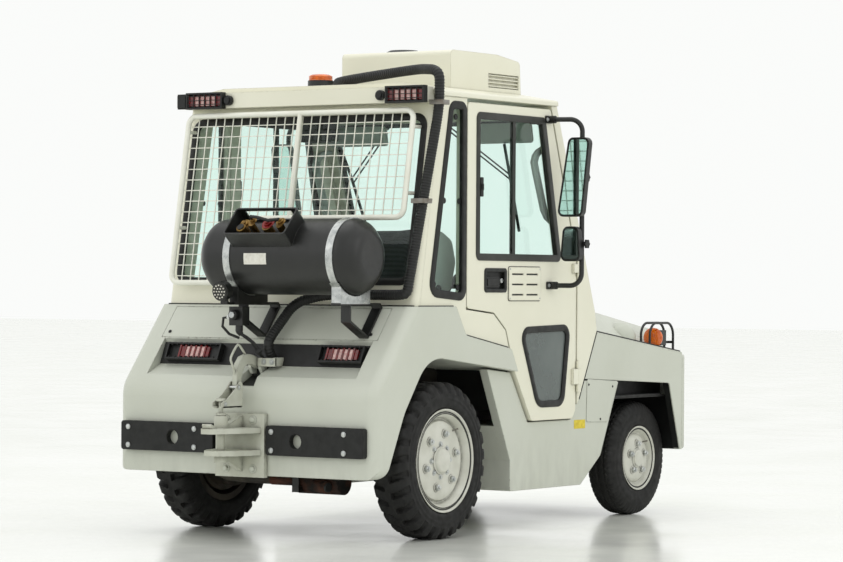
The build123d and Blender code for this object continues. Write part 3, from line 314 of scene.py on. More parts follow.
trim_grey = (
    Surface("trim_grey")
    .colour((172, 181, 174), (158, 168, 161), 7).soften(0.002).rough(0.5, 0.66).relief(340, 0.0004).done()
)
label_white = plain("label_white", (232, 230, 220), (214, 210, 198), 60, (0.35, 0.5))
tag_yellow = plain("tag_yellow", (228, 206, 60), (206, 182, 44), 60, (0.4, 0.55))


def seat_weave():
    """Woven seat cloth: crossed fine bands with fuzz."""
    cloth = Surface("seat_cloth", Sheen_Weight=0.35)
    cloth.colour((64, 66, 68), (46, 48, 50), 8)
    bands = []
    for way in ("X", "Y", "Z"):
        wave = cloth.add("ShaderNodeTexWave", bands_direction=way)
        wave.inputs["Scale"].default_value = 160
        cloth.link(cloth.place, wave.inputs["Vector"])
        bands.append(wave.outputs["Fac"])
    weave = cloth.times(cloth.span(bands[0], 0, 1, 0.4, 1), cloth.span(bands[1], 0, 1, 0.4, 1))
    weave = cloth.times(weave, cloth.span(bands[2], 0, 1, 0.4, 1))
    cloth.tint = cloth.mix(cloth.span(weave, 0.05, 0.7), (30, 31, 33), cloth.tint)
    bump = cloth.add("ShaderNodeBump")
    bump.inputs["Distance"].default_value = 0.001
    cloth.link(weave, bump.inputs["Height"])
    cloth.normal = bump.outputs["Normal"]
    return cloth.rough(0.75, 0.95).done()


seat_cloth = seat_weave()

FINISHES = (
    # material, nodes that show it
    (body_paint, "rear_body rear_panel side_sills front_fenders hood front_panel"),
    (
        cab_paint,
        "cab_rear_wall cab_sides cab_front_frame cab_roof light_beam aircon_unit door_left door_right",
    ),
    (guard_paint, "rear_guard guard_wires"),
    (hitch_paint, "tow_coupler coupler_lever coupler_pin"),
    (chassis_steel, "frame rear_axle front_axle knuckle_left knuckle_right tie_rod engine_block"),
    (black_paint, "cylinder_cradle lamp_bases mirror_left mirror_right gas_regulator work_lamp"),
    (tank_paint, "gas_cylinder"),
    (black_plastic, "dashboard steering_wheel cab_floor fan_cover aircon_hose"),
    (pad_rubber, "bumper_pads"),
    (tyre_rubber, "rear_tyre_left rear_tyre_right front_tyre_left front_tyre_right"),
    (rim_paint, "rear_rim_left rear_rim_right front_rim_left front_rim_right"),
    (zinc, "cylinder_straps"),
    (worn_steel, "hose_clips"),
    (rust, "exhaust"),
    (brass, "cylinder_valves"),
    (red_lens, "rear_lamps"),
    (amber_lens, "amber_lamps"),
    (clear_lens, "headlamps"),
    (glass, "cab_glass door_left_glass door_right_glass"),
    (seat_cloth, "seat_cushion seat_back"),
)
for material, names in FINISHES:
    for name in names.split():
        mesh = nodes[name].data
        mesh.materials.clear()
        mesh.materials.append(material)


# Shape helpers.
def circle(centre, axis, radius, count):
    """Points round an axis."""
    axis = Vector(axis).normalized()
    across = Vector((0, 0, 1)) if abs(axis.z) < 0.9 else Vector((1, 0, 0))
    one = axis.cross(across).normalized()
    two = axis.cross(one)
    angles = [2 * math.pi * step / count for step in range(count)]
    return [centre + (one * math.cos(a) + two * math.sin(a)) * radius for a in angles]


def rounded(corners, radii, steps=5):
    """Closed outline with its corners rounded."""
    outline = []
    for index, corner in enumerate(corners):
        radius = radii[index] if isinstance(radii, (list, tuple)) else radii
        here = Vector(corner)
        before = (Vector(corners[index - 1]) - here).normalized()
        after = (Vector(corners[(index + 1) % len(corners)]) - here).normalized()
        if not radius:
            outline.append(here)
            continue
        half = before.angle(after) / 2
        centre = here + (before + after).normalized() * radius / math.sin(half)
        first = here + before * radius / math.tan(half) - centre
        last = here + after * radius / math.tan(half) - centre
        sweep = first.angle(last)
        for step in range(steps + 1):
            share = step / steps
            one, two = math.sin((1 - share) * sweep), math.sin(share * sweep)
            outline.append(centre + (first * one + last * two) / math.sin(sweep))
    return outline


def grow(outline, reach):
    """Closed outline moved outwards by a distance."""
    count = len(outline)
    area = sum(outline[i - 1].cross(outline[i]) for i in range(count))
    reach = reach if area > 0 else -reach
    moved = []
    for index, here in enumerate(outline):
        came = (here - outline[index - 1]).normalized()
        goes = (outline[(index + 1) % count] - here).normalized()
        normal = Vector((came.y + goes.y, -came.x - goes.x)).normalized()
        moved.append(here + normal * reach / max(0.5, normal.dot(Vector((came.y, -came.x)))))
    return moved


def on_side(side):
    """Places X and Z on the cab's side, a distance out of it."""
    return lambda u, v, out: at(u, side * (CAB_HALF + out), v)


def on_skirt(side):
    """Places X and Z on the body's side, a distance out of it."""
    return lambda u, v, out: at(u, side * (SKIRT_HALF + out), v)


def on_wall(u, v, out):
    """Places Y and Z on the cab's rear wall, a distance out of it."""
    return at(wall_x(v) - out, u, v)


def on_screen(u, v, out):
    """Places Y and Z on the windscreen frame, a distance out of it."""
    return at(screen_x(v) + out, u, v)


class Piece:
    """Closed forms gathered into one mesh; mat counts its materials in the order given."""

    def __init__(self, name, *materials):
        self.name = name
        self.materials = materials
        self.points, self.faces, self.slots = [], [], []

    def skin(self, rings, mat=0, wrap=False):
        """Surface over closed rings, capped at both ends unless it closes on itself."""
        base, count, size = len(self.points), len(rings), len(rings[0])
        for ring in rings:
            self.points += ring
        for i in range(count if wrap else count - 1):
            low, high = base + i * size, base + (i + 1) % count * size
            for k in range(size):
                m = (k + 1) % size
                self.faces.append((low + k, low + m, high + m, high + k))
        if not wrap:
            self.faces.append(tuple(base + k for k in reversed(range(size))))
            self.faces.append(tuple(base + (count - 1) * size + k for k in range(size)))
        self.slots += [mat] * (len(self.faces) - len(self.slots))

    def slab(self, outline, place, low, high, mat=0):
        """Plate over an outline between two distances out of a surface."""
        self.skin([[place(*p, out) for p in outline] for out in (low, high)], mat)

    def across(self, outline, near, far, mat=0):
        """Plate over an outline of X and Z between two places across the vehicle."""
        self.skin([[at(x, y, z) for x, z in outline] for y in (near, far)], mat)

    def gasket(self, outline, place, section, mat=0):
        """Strip round an outline; the section lists reach past the outline and distance out."""
        grown = {reach: grow(outline, reach) for reach, out in section}
        rings = [[place(*grown[reach][i], out) for reach, out in section] for i in range(len(outline))]
        self.skin(rings, mat, wrap=True)

    def rod(self, start, end, radius, mat=0, count=20, dome=0):
        """Round bar between two points with eased ends, or a domed far end."""
        way = end - start
        radius = radius * MM
        ease = min(radius * 0.12, way.length * 0.2)
        step = way.normalized() * ease
        rings = [circle(start, way, radius - ease, count), circle(start + step, way, radius, count)]
        rings += [circle(end - step, way, radius, count), circle(end, way, radius - ease, count)]
        if dome:
            top = way.normalized() * dome * MM
            rings.append(circle(end + top * 0.7, way, radius * 0.55, count))
            rings.append(circle(end + top, way, radius * 0.15, count))
        self.skin(rings, mat)

    def lathe(self, profile, centre, axis, mat=0, count=72, inner=None):
        """Closed profile of distance along an axis and radius, turned round it.

        inner gives the number of a profile point and the material from there on.
        """
        axis = Vector(axis)
        turned = [
            circle(centre + axis * along / 1000, axis, radius / 1000, count)
            for along, radius in profile
        ]
        self.skin([[ring[i] for ring in turned] for i in range(count)], mat, wrap=True)
        if inner:
            size, start = len(profile), len(self.slots) - count * len(profile)
            for index in range(start, len(self.slots)):
                if (index - start) % size >= inner[0]:
                    self.slots[index] = inner[1]

    def tube(self, points, radius, mat=0, count=12):
        """Round tube along points; the radius may be one number or one per point."""
        size = len(points)
        rings, side = [], None
        for index, here in enumerate(points):
            way = points[min(index + 1, size - 1)] - points[max(index - 1, 0)]
            way.normalize()
            side = way.orthogonal() if side is None else side - way * side.dot(way)
            side.normalize()
            up = way.cross(side)
            reach = (radius[index] if isinstance(radius, list) else radius) * MM
            angles = [2 * math.pi * k / count for k in range(count)]
            rings.append([here + (side * math.cos(a) + up * math.sin(a)) * reach for a in angles])
        self.skin(rings, mat)

    def bolt(self, foot, way, radius, height, mat=0, washer=True):
        """Hexagon head on a washer."""
        way = Vector(way).normalized()
        head = way * height * MM
        if washer:
            self.rod(foot, foot + head * 0.25, radius * 1.55, mat, 18)
        radius = radius * MM
        base, top = foot + head * 0.2, foot + head
        rings = [circle(base, way, radius, 6), circle(base + (top - base) * 0.8, way, radius, 6)]
        rings.append(circle(top, way, radius * 0.82, 6))
        self.skin(rings, mat)

    def screw(self, foot, way, radius, mat=0):
        """Low domed head."""
        way = Vector(way).normalized()
        radius = radius * MM
        rings = [circle(foot, way, radius, 14), circle(foot + way * radius * 0.25, way, radius * 0.95, 14)]
        rings.append(circle(foot + way * radius * 0.5, way, radius * 0.6, 14))
        self.skin(rings, mat)

    def box(self, x0, x1, y0, y1, z0, z1, mat=0):
        """Block between two corners."""
        ring = [(x0, y0), (x1, y0), (x1, y1), (x0, y1)]
        self.skin([[at(x, y, z) for x, y in ring] for z in (z0, z1)], mat)

    def done(self, body, slot, bevel=0.0, replaces=(), smooth=38):
        """Makes the mesh and rides it on a body; the bevel eases its edges. The slot is not used."""
        mesh = bpy.data.meshes.new(self.name)
        mesh.from_pydata(self.points, [], self.faces)
        for material in self.materials:
            mesh.materials.append(material)
        mesh.polygons.foreach_set("material_index", self.slots)
        work = bmesh.new()
        work.from_mesh(mesh)
        bmesh.ops.remove_doubles(work, verts=work.verts, dist=1e-6)
        bmesh.ops.recalc_face_normals(work, faces=work.faces)
        work.to_mesh(mesh)
        work.free()
        mesh.shade_smooth()
        mesh.set_sharp_from_angle(angle=math.radians(smooth))
        piece = bpy.data.objects.new(self.name, mesh)
        bpy.context.scene.collection.objects.link(piece)
        if bevel:
            ease = piece.modifiers.new("ease", "BEVEL")
            ease.width, ease.segments, ease.limit_method = bevel / 1000, 2, "ANGLE"
            ease.angle_limit = math.radians(40)
            ease.harden_normals = True
        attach(piece, body)
        if replaces:
            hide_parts(*replaces)
        return piece


# Tyres: one skin each, with the tread cut into its radius.
def make_tyre(name, body, x, z, middle, side, section, steps, depth, cut):
    """Skin over a section of y, radius and tread share; cut gives the groove share at an angle and y."""
    piece = Piece(name + "_tread", tyre_rubber)
    whole = [(-y, r, w) for y, r, w in reversed(section)] + section[1:]
    rings = []
    for step in range(steps):
        angle = 2 * math.pi * step / steps
        ring = []
        for y, r, w in whole:
            reach = r - depth * w * cut(angle, y)
            ring.append(around(x, side * (middle + y), z, reach, angle))
        rings.append(ring)
    piece.skin(rings, 0, wrap=True)
    piece.done(body, replaces=[name], slot="tyre_rubber", smooth=32)


def step_up(value, low, high):
    share = min(1.0, max(0.0, (value - low) / (high - low)))
    return share * share * (3 - 2 * share)


LUGS = 28


def lug_cut(angle, y):
    """Slanted notches from each edge towards the middle, half a pitch apart."""
    start = 0.5 if y > 0 else 0.0
    pitch = 2 * math.pi / LUGS
    turn = (angle / pitch + start + abs(y) * 0.0042) % 1.0
    off = abs(turn - 0.5)
    wide = 0.17 + 0.05 * step_up(abs(y), 60, 89)
    return 1.0 - step_up(off, wide - 0.03, wide + 0.03)


REAR_SECTION = [
    (0, 333, 0), (8, 333.5, 0), (12, 334, 0.0), (17, 334, 1), (30, 334.6, 1), (44, 335, 1), (58, 334, 1),
    (67, 330, 1), (74, 322, 1), (80, 311, 1), (84.5, 300, 0.9), (86.5, 292, 0.5), (87.2, 287, 0),
    (86, 280, 0), (86.6, 272, 0), (88.2, 268, 0), (88.2, 262, 0), (87, 259, 0), (88.6, 250, 0),
    (88.6, 240, 0), (87, 233, 0), (84, 228, 0), (80, 224, 0), (74, 219, 0), (70, 217, 0),
]


def road_cut(angle, y):
    """Three wavy grooves round the tread and short cuts in the shoulders."""
    wave = 2.6 * math.sin(angle * 44)
    groove = max(1.0 - step_up(abs(y - middle - wave), 2.4, 5.2) for middle in (-31, 0, 31))
    pitch = (angle * 60 / (2 * math.pi)) % 1.0
    if abs(y) > 42:
        groove = max(groove, 0.8 * (1.0 - step_up(abs(pitch - 0.5), 0.1, 0.22)))
    return groove


ROAD_YS = (0, 2.5, 5, 8, 14, 20, 25, 28, 30.5, 33, 36, 40, 44, 49)
FRONT_SECTION = [(y, 268 - (y / 49) ** 4 * 4, 1) for y in ROAD_YS] + [
    (55, 260, 1), (60, 252, 0.9), (65, 241, 0.4), (69, 229, 0), (71.5, 219, 0), (71, 214, 0),
    (73.4, 208, 0), (74, 196, 0), (73.6, 184, 0), (72, 176, 0), (73, 170, 0), (72, 162, 0), (68, 155, 0),
    (63, 150, 0), (60, 149, 0),
]

# Rims: turned profile, nuts and hub; distances are inwards from the tyre's outer face.
REAR_RIM = [
    (14, 217.5), (9, 221), (5, 220.5), (4, 217), (7, 213), (11, 210), (12, 205), (9, 202), (10, 198),
    (16, 194), (22, 191), (26, 188), (40, 185), (46, 181), (47, 175), (43, 171), (37, 168), (34, 160),
    (32, 150), (31, 100), (30, 84), (30, 60), (30, 0), (58, 0), (58, 150), (66, 176), (100, 184),
    (160, 190), (160, 217.5),
]
FRONT_RIM = [
    (12, 149.5), (6, 152), (2.5, 151), (2.5, 147), (7, 143), (10, 139), (9, 135), (14, 131), (24, 127),
    (30, 123), (32, 117), (29, 112), (22, 106), (17, 96), (15, 80), (13, 60), (13, 0), (34, 0), (34, 60),
    (40, 110), (50, 124), (130, 134), (130, 149.5),
]
REAR_CAP = [(33, 0), (33, 60), (25, 59), (22, 54), (15, 52), (10, 46), (8, 38), (7, 0)]
FRONT_CAP = [(15, 0), (15, 47), (10, 46), (8, 41), (3, 39), (0.5, 33), (-0.5, 0)]
VALVE = ((0.84, -4), (0.86, 8), (0.9, 22))
VALVE_POINT, VALVE_TURN = 11, 0.9
REAR_GAPS = ((9.6, 207.5), (8.4, 200.5))
FRONT_GAPS = ((7.6, 141), (8.6, 136.5))
WHEELS = (
    # axle, x, radius, tyre middle, outer face, section, groove, steps, depth,
    # rim, cap, nuts, their ring, face, hub bolts, their ring, gaps, back of the disc
    (
        "rear", 0, REAR_R, REAR_MID, REAR_OUT, REAR_SECTION, lug_cut, LUGS * 14, 17,
        REAR_RIM, REAR_CAP, 6, 117, 32, 8, 70, REAR_GAPS, 58,
    ),
    (
        "front", WHEELBASE, FRONT_R, FRONT_MID, FRONT_OUT, FRONT_SECTION, road_cut, 480, 6,
        FRONT_RIM, FRONT_CAP, 5, 68, 15, 0, 0, FRONT_GAPS, 34,
    ),
)
for (
    axle, x, z, middle, outer, section, cut, steps, depth,
    rim, cap, nuts, ring, face, hubs, hub_ring, gaps, backs,
) in WHEELS:
    for word, side in SIDES:
        body = f"{axle}_wheel_{word}"
        make_tyre(f"{axle}_tyre_{word}", body, x, z, middle, side, section, steps, depth, cut)
        piece = Piece(f"{axle}_wheel_rim_{word}", rim_paint, worn_steel, zinc, gasket_rubber, chassis_steel)
        way = Vector((0, side, 0))
        centre = at(x, side * outer, z)
        piece.lathe([(-deep, r) for deep, r in rim], centre, way, 0, 96, (rim.index((backs, 0)), 4))
        piece.lathe([(-deep, r) for deep, r in cap], centre, way, 0, 60)
        for deep, r in gaps:
            groove = [(-deep - 4, r - 2), (-deep, r - 1.6), (-deep, r + 1.6), (-deep - 4, r + 2)]
            piece.lathe(groove, centre, way, 3, 96)
        for step in range(nuts):
            turn = 2 * math.pi * (step + 0.25) / nuts
            foot = around(x, side * (outer - face), z, ring, turn)
            piece.rod(foot, foot + way * 4 * MM, 20, 0, 24)
            piece.bolt(foot + way * 3 * MM, way, 14, 15, 2, False)
            piece.rod(foot + way * 10 * MM, foot + way * 24 * MM, 7, 2, 12)
        for step in range(hubs):
            turn = 2 * math.pi * step / hubs
            foot = around(x, side * (outer - face + 1), z, hub_ring, turn)
            piece.bolt(foot, way, 8, 9, 2)
        stem = []
        for share, out in VALVE:
            reach = rim[VALVE_POINT][1] * share
            stem.append(around(x, side * (outer - face + out), z, reach, VALVE_TURN))
        piece.tube(stem, 4, 1)
        piece.done(body, replaces=[f"{axle}_rim_{word}"], slot="rim_paint", smooth=40)

# Brake drums behind the rims: on the axle at the rear and on the steered knuckles at the front.
REAR_DRUM = [
    (72, 0), (72, 158), (80, 163), (138, 163), (142, 170), (152, 171), (156, 166), (156, 150), (164, 120),
    (166, 0),
]
FRONT_DRUM = [
    (46, 0), (46, 92), (50, 98), (60, 98), (63, 103), (66, 103), (68, 96), (68, 44), (72, 40), (86, 40),
    (86, 0),
]
for word, side in SIDES:
    drum = Piece(f"rear_brake_drum_{word}", chassis_steel)
    drum.lathe([(-deep, r) for deep, r in REAR_DRUM], at(0, side * REAR_OUT, REAR_R), (0, side, 0), 0, 72)
    drum.done("chassis", slot="black_steel")
    drum = Piece(f"front_brake_drum_{word}", chassis_steel)
    hub = at(WHEELBASE, side * FRONT_OUT, FRONT_R)
    drum.lathe([(-deep, r) for deep, r in FRONT_DRUM], hub, (0, side, 0), 0, 60)
    drum.done(f"{word}_steering_knuckle", slot="black_steel")

# Windows: rubber strips, sliding frames and panes.
REAR_PANE = rounded([(-612, 1092), (612, 1092), (612, 1796), (-612, 1796)], 45, 6)
STRIP = [(-17, -13), (-17, 2), (-11, 6), (6, 6), (13, 3), (14, -1), (0.5, -1), (0.5, -13)]
WIDE_STRIP = [(-13, -13), (-13, 2), (-8, 6), (14, 6), (21, 3), (22, -0.5), (0.5, -0.5), (0.5, -13)]
rubber = Piece("cab_window_rubber", gasket_rubber, black_plastic)
rubber.gasket(REAR_PANE, on_wall, STRIP)
QUARTER = [(-104, 1052), (48.4, 1846), (142, 1846), (142, 1034)]
quarter_pane = rounded(QUARTER, [40, 30, 22, 30], 5)
for side in (1, -1):
    rubber.gasket(quarter_pane, on_side(side), WIDE_STRIP)
    for x, z in ((92, 1800), (4, 1440), (124, 1440), (-70, 1085), (114, 1072)):
        foot = at(x, side * (CAB_HALF - 14), z)
        rubber.rod(foot, foot + Vector((0, side * 7 * MM, 0)), 13, 1, 18)
SCREEN_PANE = rounded([(-590, 1010), (590, 1010), (575, 1826), (-575, 1826)], 45, 6)
rubber.gasket(SCREEN_PANE, on_screen, STRIP)
rubber.done("chassis", slot="black_plastic")

WINDOW = rounded([(245, 1826), (245, 1192), (946, 1192), (802.2, 1826)], 25, 5)
LOW_WINDOW = rounded([(614, 884), (756, 552), (968, 552), (1018, 894)], [40, 60, 50, 40], 7)
FRAME = [(-27, -20), (-27, 1), (-25, 3), (1, 4), (4, 3), (4, 0.3), (-0.5, 0.3), (-0.5, -20)]
LOW_STRIP = [(-16, -13), (-16, 1), (-9, 6), (7, 6), (14, 2), (14, 0.2), (-0.5, 0.2), (-0.5, -13)]
REAR_SLIDE = rounded([(263, 1806), (263, 1212), (566, 1212), (566, 1806)], 12, 3)
FRONT_SLIDE = rounded([(536, 1806), (536, 1212), (920, 1212), (786, 1806)], 12, 3)
for word, side in SIDES:
    place = on_side(side)
    body = f"{word}_door"
    trim = Piece(f"{word}_door_window_frame", dark_metal, gasket_rubber, black_plastic)
    trim.gasket(WINDOW, place, FRAME, 0)
    trim.gasket(LOW_WINDOW, place, LOW_STRIP, 1)
    bar = rounded([(540, 1802), (540, 1214), (564, 1214), (564, 1802)], 3, 2)
    trim.slab(bar, place, -19, -2, 0)
    trim.slab(rounded([(272, 1548), (272, 1464), (292, 1464), (292, 1548)], 5, 3), place, -10, 6, 2)
    trim.slab(rounded([(276, 1520), (276, 1492), (288, 1492), (288, 1520)], 4, 3), place, 5, 11, 2)
    trim.done(body, slot="black_plastic")
    panes = Piece(f"{word}_door_panes", glass, smoked_glass)
    panes.slab(REAR_SLIDE, place, -10, -6, 0)
    panes.slab(FRONT_SLIDE, place, -17, -13, 0)
    panes.slab(grow(LOW_WINDOW, -2), place, -10, -5, 1)
    panes.done(body, replaces=[f"door_{word}_glass"], slot="window_glass")

# Door handles, vent plates and mirror fittings.
HANDLE = rounded([(309, 1050), (309, 1156), (491, 1156), (491, 1050)], 16, 5)
HANDLE_IN = grow(HANDLE, -17)
HEADS = (
    # low, high, then inner and outer reach from the door at the foot and at the head
    (1388, 1740, 54, 184, 112, 221),
    (1190, 1345, 71, 175, 86, 164),
)
KNOB_X, KNOB_Y, KNOB_RIBS = 872, 818, 12
VENT = rounded([(505, 1015), (505, 1162), (770, 1162), (770, 1015)], 10, 4)
VENT_SLOT = ((0.5, 0.4), (93.5, 0.4), (93.5, 6.6), (0.5, 6.6))
for word, side in SIDES:
    place = on_side(side)
    fit = Piece(f"{word}_door_fittings", black_plastic, zinc, mirror_glass, black_paint)
    fit.gasket(
        HANDLE, place, [(-17, -14), (-17, 1), (-13, 5), (-3, 5), (0, 3), (0, 0.2), (-7, 0.2), (-7, -14)],
    )
    fit.slab(HANDLE_IN, place, -17.5, -15, 0)
    paddle = rounded([(330, 1072), (330, 1118), (440, 1118), (440, 1072)], 10, 4)
    fit.slab(paddle, place, -14, -3, 0)
    fit.slab(grow(paddle, -8), place, -4, 1, 0)
    lock = place(462, 1102, -15)
    fit.rod(lock, lock + Vector((0, side * 10 * MM, 0)), 11, 1, 20)
    fit.gasket(VENT, place, [(0.2, 0.1), (0.2, 1.4), (3.2, 1.4), (3.2, 0.1)])
    for x in (529, 649):
        for z in (1037, 1082, 1127):
            fit.slab([(x + dx, z + dz) for dx, dz in VENT_SLOT], place, 0.1, 1.2)
    for x, z in ((514, 1024), (514, 1153), (761, 1024), (761, 1153)):
        fit.screw(place(x, z, 5), (0, side, 0), 4, 1)
    for low, high, low_in, low_out, high_in, high_out in HEADS:
        quad = [(low_in, low), (low_out, low), (high_out, high), (high_in, high)]
        ring = grow(rounded([(CAB_HALF + y, z) for y, z in quad], 28, 5), -10)
        fit.skin([[at(x, side * y, z) for y, z in ring] for x in (825.8, 822.6)], 2)
        middle = (low + high) / 2
        knob = at(KNOB_X, side * KNOB_Y, middle)
        fit.rod(knob, knob + Vector((0, side * 16 * MM, 0)), 10, 0, 14)
        rings = []
        for out in (14, 22):
            ring = []
            for k in range(KNOB_RIBS):
                r = 17 if k % 2 else 22
                turn = 2 * math.pi * k / KNOB_RIBS
                ring.append(around(KNOB_X, side * (KNOB_Y + out), middle, r, turn))
            rings.append(ring)
        fit.skin(rings, 0)
    for x, z in ((832, 1822), (852, 1082)):
        plate = rounded([(x - 30, z - 17), (x + 26, z - 17), (x + 26, z + 17), (x - 30, z + 17)], 6, 3)
        fit.slab(plate, place, 0.2, 9, 3)
        fit.bolt(place(x - 20, z, 9), (0, side, 0), 6, 7, 1)
        fit.bolt(place(x + 17, z - 8, 9), (0, side, 0), 6, 7, 1)
        fit.rod(place(x, z, 6), place(x, z, 40), 17, 0, 20)
    fit.done(body=f"{word}_door", bevel=0.8, slot="black_plastic")


# Front fenders: folded sheet with a black liner, wheelhouse roofs and plates.
def fender_z(x):
    """Top of the front fenders, which fall towards the front."""
    return 874 - (x - 1268) * 0.1295


FENDER = [
    (1278, fender_z(1278)), (2102.7, fender_z(2103)), (2102.7, 300), (2085, 300), (1979, 621), (1166, 658),
]
FENDER_LINE = rounded(FENDER, [0, 0, 0, 12, 16, 0], 4)
LINER = rounded(
    [(1300, 840), (2100, 740), (2100, 306), (2090, 306), (1985, 627), (1172, 664)], [0, 0, 0, 10, 14, 0], 4,
)
WHEELHOUSE = (
    # rear, front, inner and outer face, low, high
    (1300, 2096, 256, 597, 556, 561),
    (1300, 2096, 516, 521, 560, 700),
    (2097, 2102.5, 256, 597, 302, 556),
)
fenders = Piece("front_fender_sheets", body_paint, black_plastic, gasket_rubber)
for side in (1, -1):
    place = on_skirt(side)
    fenders.slab(FENDER_LINE, place, -6, 0, 0)
    fenders.slab(LINER, place, -40, -6.2, 1)
    for low, high, near, far in ((0, 6, 562, 637.5), (4.3, 14, 510, 563)):
        strip = [
            (x, fender_z(x) - drop)
            for x, drop in ((1278, low), (2102, low), (2102, high), (1278, high))
        ]
        fenders.across(strip, side * near, side * far)
    for x0, x1, near, far, z0, z1 in WHEELHOUSE:
        y0, y1 = sorted((side * near, side * far))
        fenders.box(x0, x1, y0, y1, z0, z1, 1)
    lip = [at(1500, side * 590, 566), at(1760, side * 592, 567), at(1980, side * 590, 566)]
    fenders.tube(lip, 7, 2, 10)
fenders.done("chassis", bevel=1.2, replaces=["front_fenders"], slot="body_paint", smooth=30)

# Headlamps: black rim, reflector bowl, bulb and ribbed lens.
HEAD_X, HEAD_Y, HEAD_Z = 2103, 430, 640
FRONT = (1, 0, 0)
HEAD_RIM = [(0, 66), (22, 66), (25, 69), (25.5, 72), (22, 76), (0, 76)]
HEAD_BOWL = [(3, 0), (3, 18), (6, 34), (11, 50), (18, 66), (16, 66), (9, 50), (4, 34), (1, 18), (1, 0)]
HEAD_LENS = [
    (18, 66.5), (21, 60), (23.5, 44), (25, 24), (25.5, 0), (24, 0), (23.5, 24), (22, 44), (19.5, 60),
    (17, 66.5),
]
heads = Piece("headlamp_units", black_plastic, silver, clear_lens, zinc)
head_lenses = Piece("headlamp_lenses", glass)
LENS_R = 60
for side in (-1, 1):
    middle = side * HEAD_Y
    spot = at(HEAD_X, middle, HEAD_Z)
    heads.lathe(HEAD_RIM, spot, FRONT, 0, 64)
    heads.lathe(HEAD_BOWL, spot, FRONT, 1, 64)
    heads.rod(at(HEAD_X + 3, middle, HEAD_Z), at(HEAD_X + 13, middle, HEAD_Z), 9, 3, 20)
    heads.rod(at(HEAD_X + 13, middle, HEAD_Z), at(HEAD_X + 16.5, middle, HEAD_Z), 6, 2, 20)
    for shift in range(-48, 49, 12):
        high = math.sqrt(LENS_R ** 2 - shift ** 2)
        crown = HEAD_X + 19.5 - 4.5 * (shift / LENS_R) ** 2
        shares = [step / 3 for step in range(-3, 4)]
        rib = [at(crown - 3 * share ** 2, middle + shift, HEAD_Z + high * share) for share in shares]
        heads.tube(rib, 1.2, 2, 6)
    for turn in range(3):
        angle = math.radians(90 + 120 * turn)
        foot = at(HEAD_X + 23.5, middle + 71.2 * math.cos(angle), HEAD_Z + 71.2 * math.sin(angle))
        heads.bolt(foot, FRONT, 3, 1.6, 3)
    head_lenses.lathe(HEAD_LENS, spot, FRONT, 0, 64)
heads.done("chassis", replaces=["headlamps"], slot="lamp_clear", smooth=50)
head_lenses.done("chassis", slot="lamp_clear", smooth=60)

# Lamps on the shelf and the roof beam.
lamps = Piece("rear_lamp_units", black_plastic, pink_lens, red_lens)


def shelf_box(y0, y1, low, high, near, far, mat):
    """Block on the shelf's back wall."""
    ring = [on_shelf(low, near), on_shelf(high, near), on_shelf(high, far), on_shelf(low, far)]
    lamps.across(ring, y0, y1, mat)


shelf_box(-549, 549, 3, 104, 0.2, 2.2, 0)
for low_y, high_y in ((217, 506), (-532, -304)):
    shelf_box(low_y, high_y, 14, 92, 2, 14, 0)
    shelf_box(low_y, high_y, 14, 22, 13, 34, 0)
    shelf_box(low_y, high_y, 84, 92, 13, 34, 0)
    shelf_box(low_y, low_y + 8, 21, 85, 13, 34, 0)
    shelf_box(high_y - 8, high_y, 21, 85, 13, 34, 0)
    lamp_mid = (low_y + high_y) / 2
    for step in range(6):
        y = lamp_mid - 82 + step * 27
        shelf_box(y, y + 17, 30, 76, 13, 25, 1 if step % 5 else 2)
        shelf_box(y + 17, y + 26, 24, 82, 13, 29, 2)
    for step in range(9):
        y = low_y + 24 + step * (high_y - low_y - 48) / 8
        shelf_box(y - 2, y + 2, 20, 28, 28, 36, 0)
        shelf_box(y - 2, y + 2, 78, 86, 28, 36, 0)
BEAM_FACE = -150.3
for y0, y1, end in ((404, 604, 660), (-462, -661, -661)):
    side = 1 if y0 > 0 else -1
    near, far = sorted((y0, y1))
    lamps.box(-164, BEAM_FACE, near, far, 1849, 1922, 0)
    for low, high in ((1849, 1857), (1914, 1922)):
        lamps.box(-180, -163, near, far, low, high, 0)
    for y in (near, far - 8):
        lamps.box(-180, -163, y, y + 8, 1856, 1915, 0)
    for step in range(6):
        y = near + 14 + step * 30
        lamps.box(-172, -163, y, y + 19, 1863, 1908, 1 if step in (1, 2, 3, 4) else 2)
        lamps.box(-174, -163, y + 19, y + 26, 1860, 1911, 2)
        lamps.box(-181, -176, y + 21, y + 24, 1852, 1919, 0)
    for low in (1868, 1886, 1904):
        lamps.box(-179, -176.5, near + 4, far - 4, low, low + 3, 0)
    if end != y1:
        lamps.box(-166, BEAM_FACE, y1 - 1, end, 1852, 1918, 0)
        lamps.box(-176, -165, y1 + 6, end - 6, 1858, 1912, 0)
    eye = at(BEAM_FACE, 382 if side > 0 else -426, 1885)
    lamps.rod(eye, eye - Vector((20 * MM, 0, 0)), 22, 0, 28)
    lamps.rod(eye - Vector((21 * MM, 0, 0)), eye - Vector((26 * MM, 0, 0)), 15, 0, 28)
lamps.done("chassis", bevel=0.8, replaces=["rear_lamps"], slot="lamp_red")

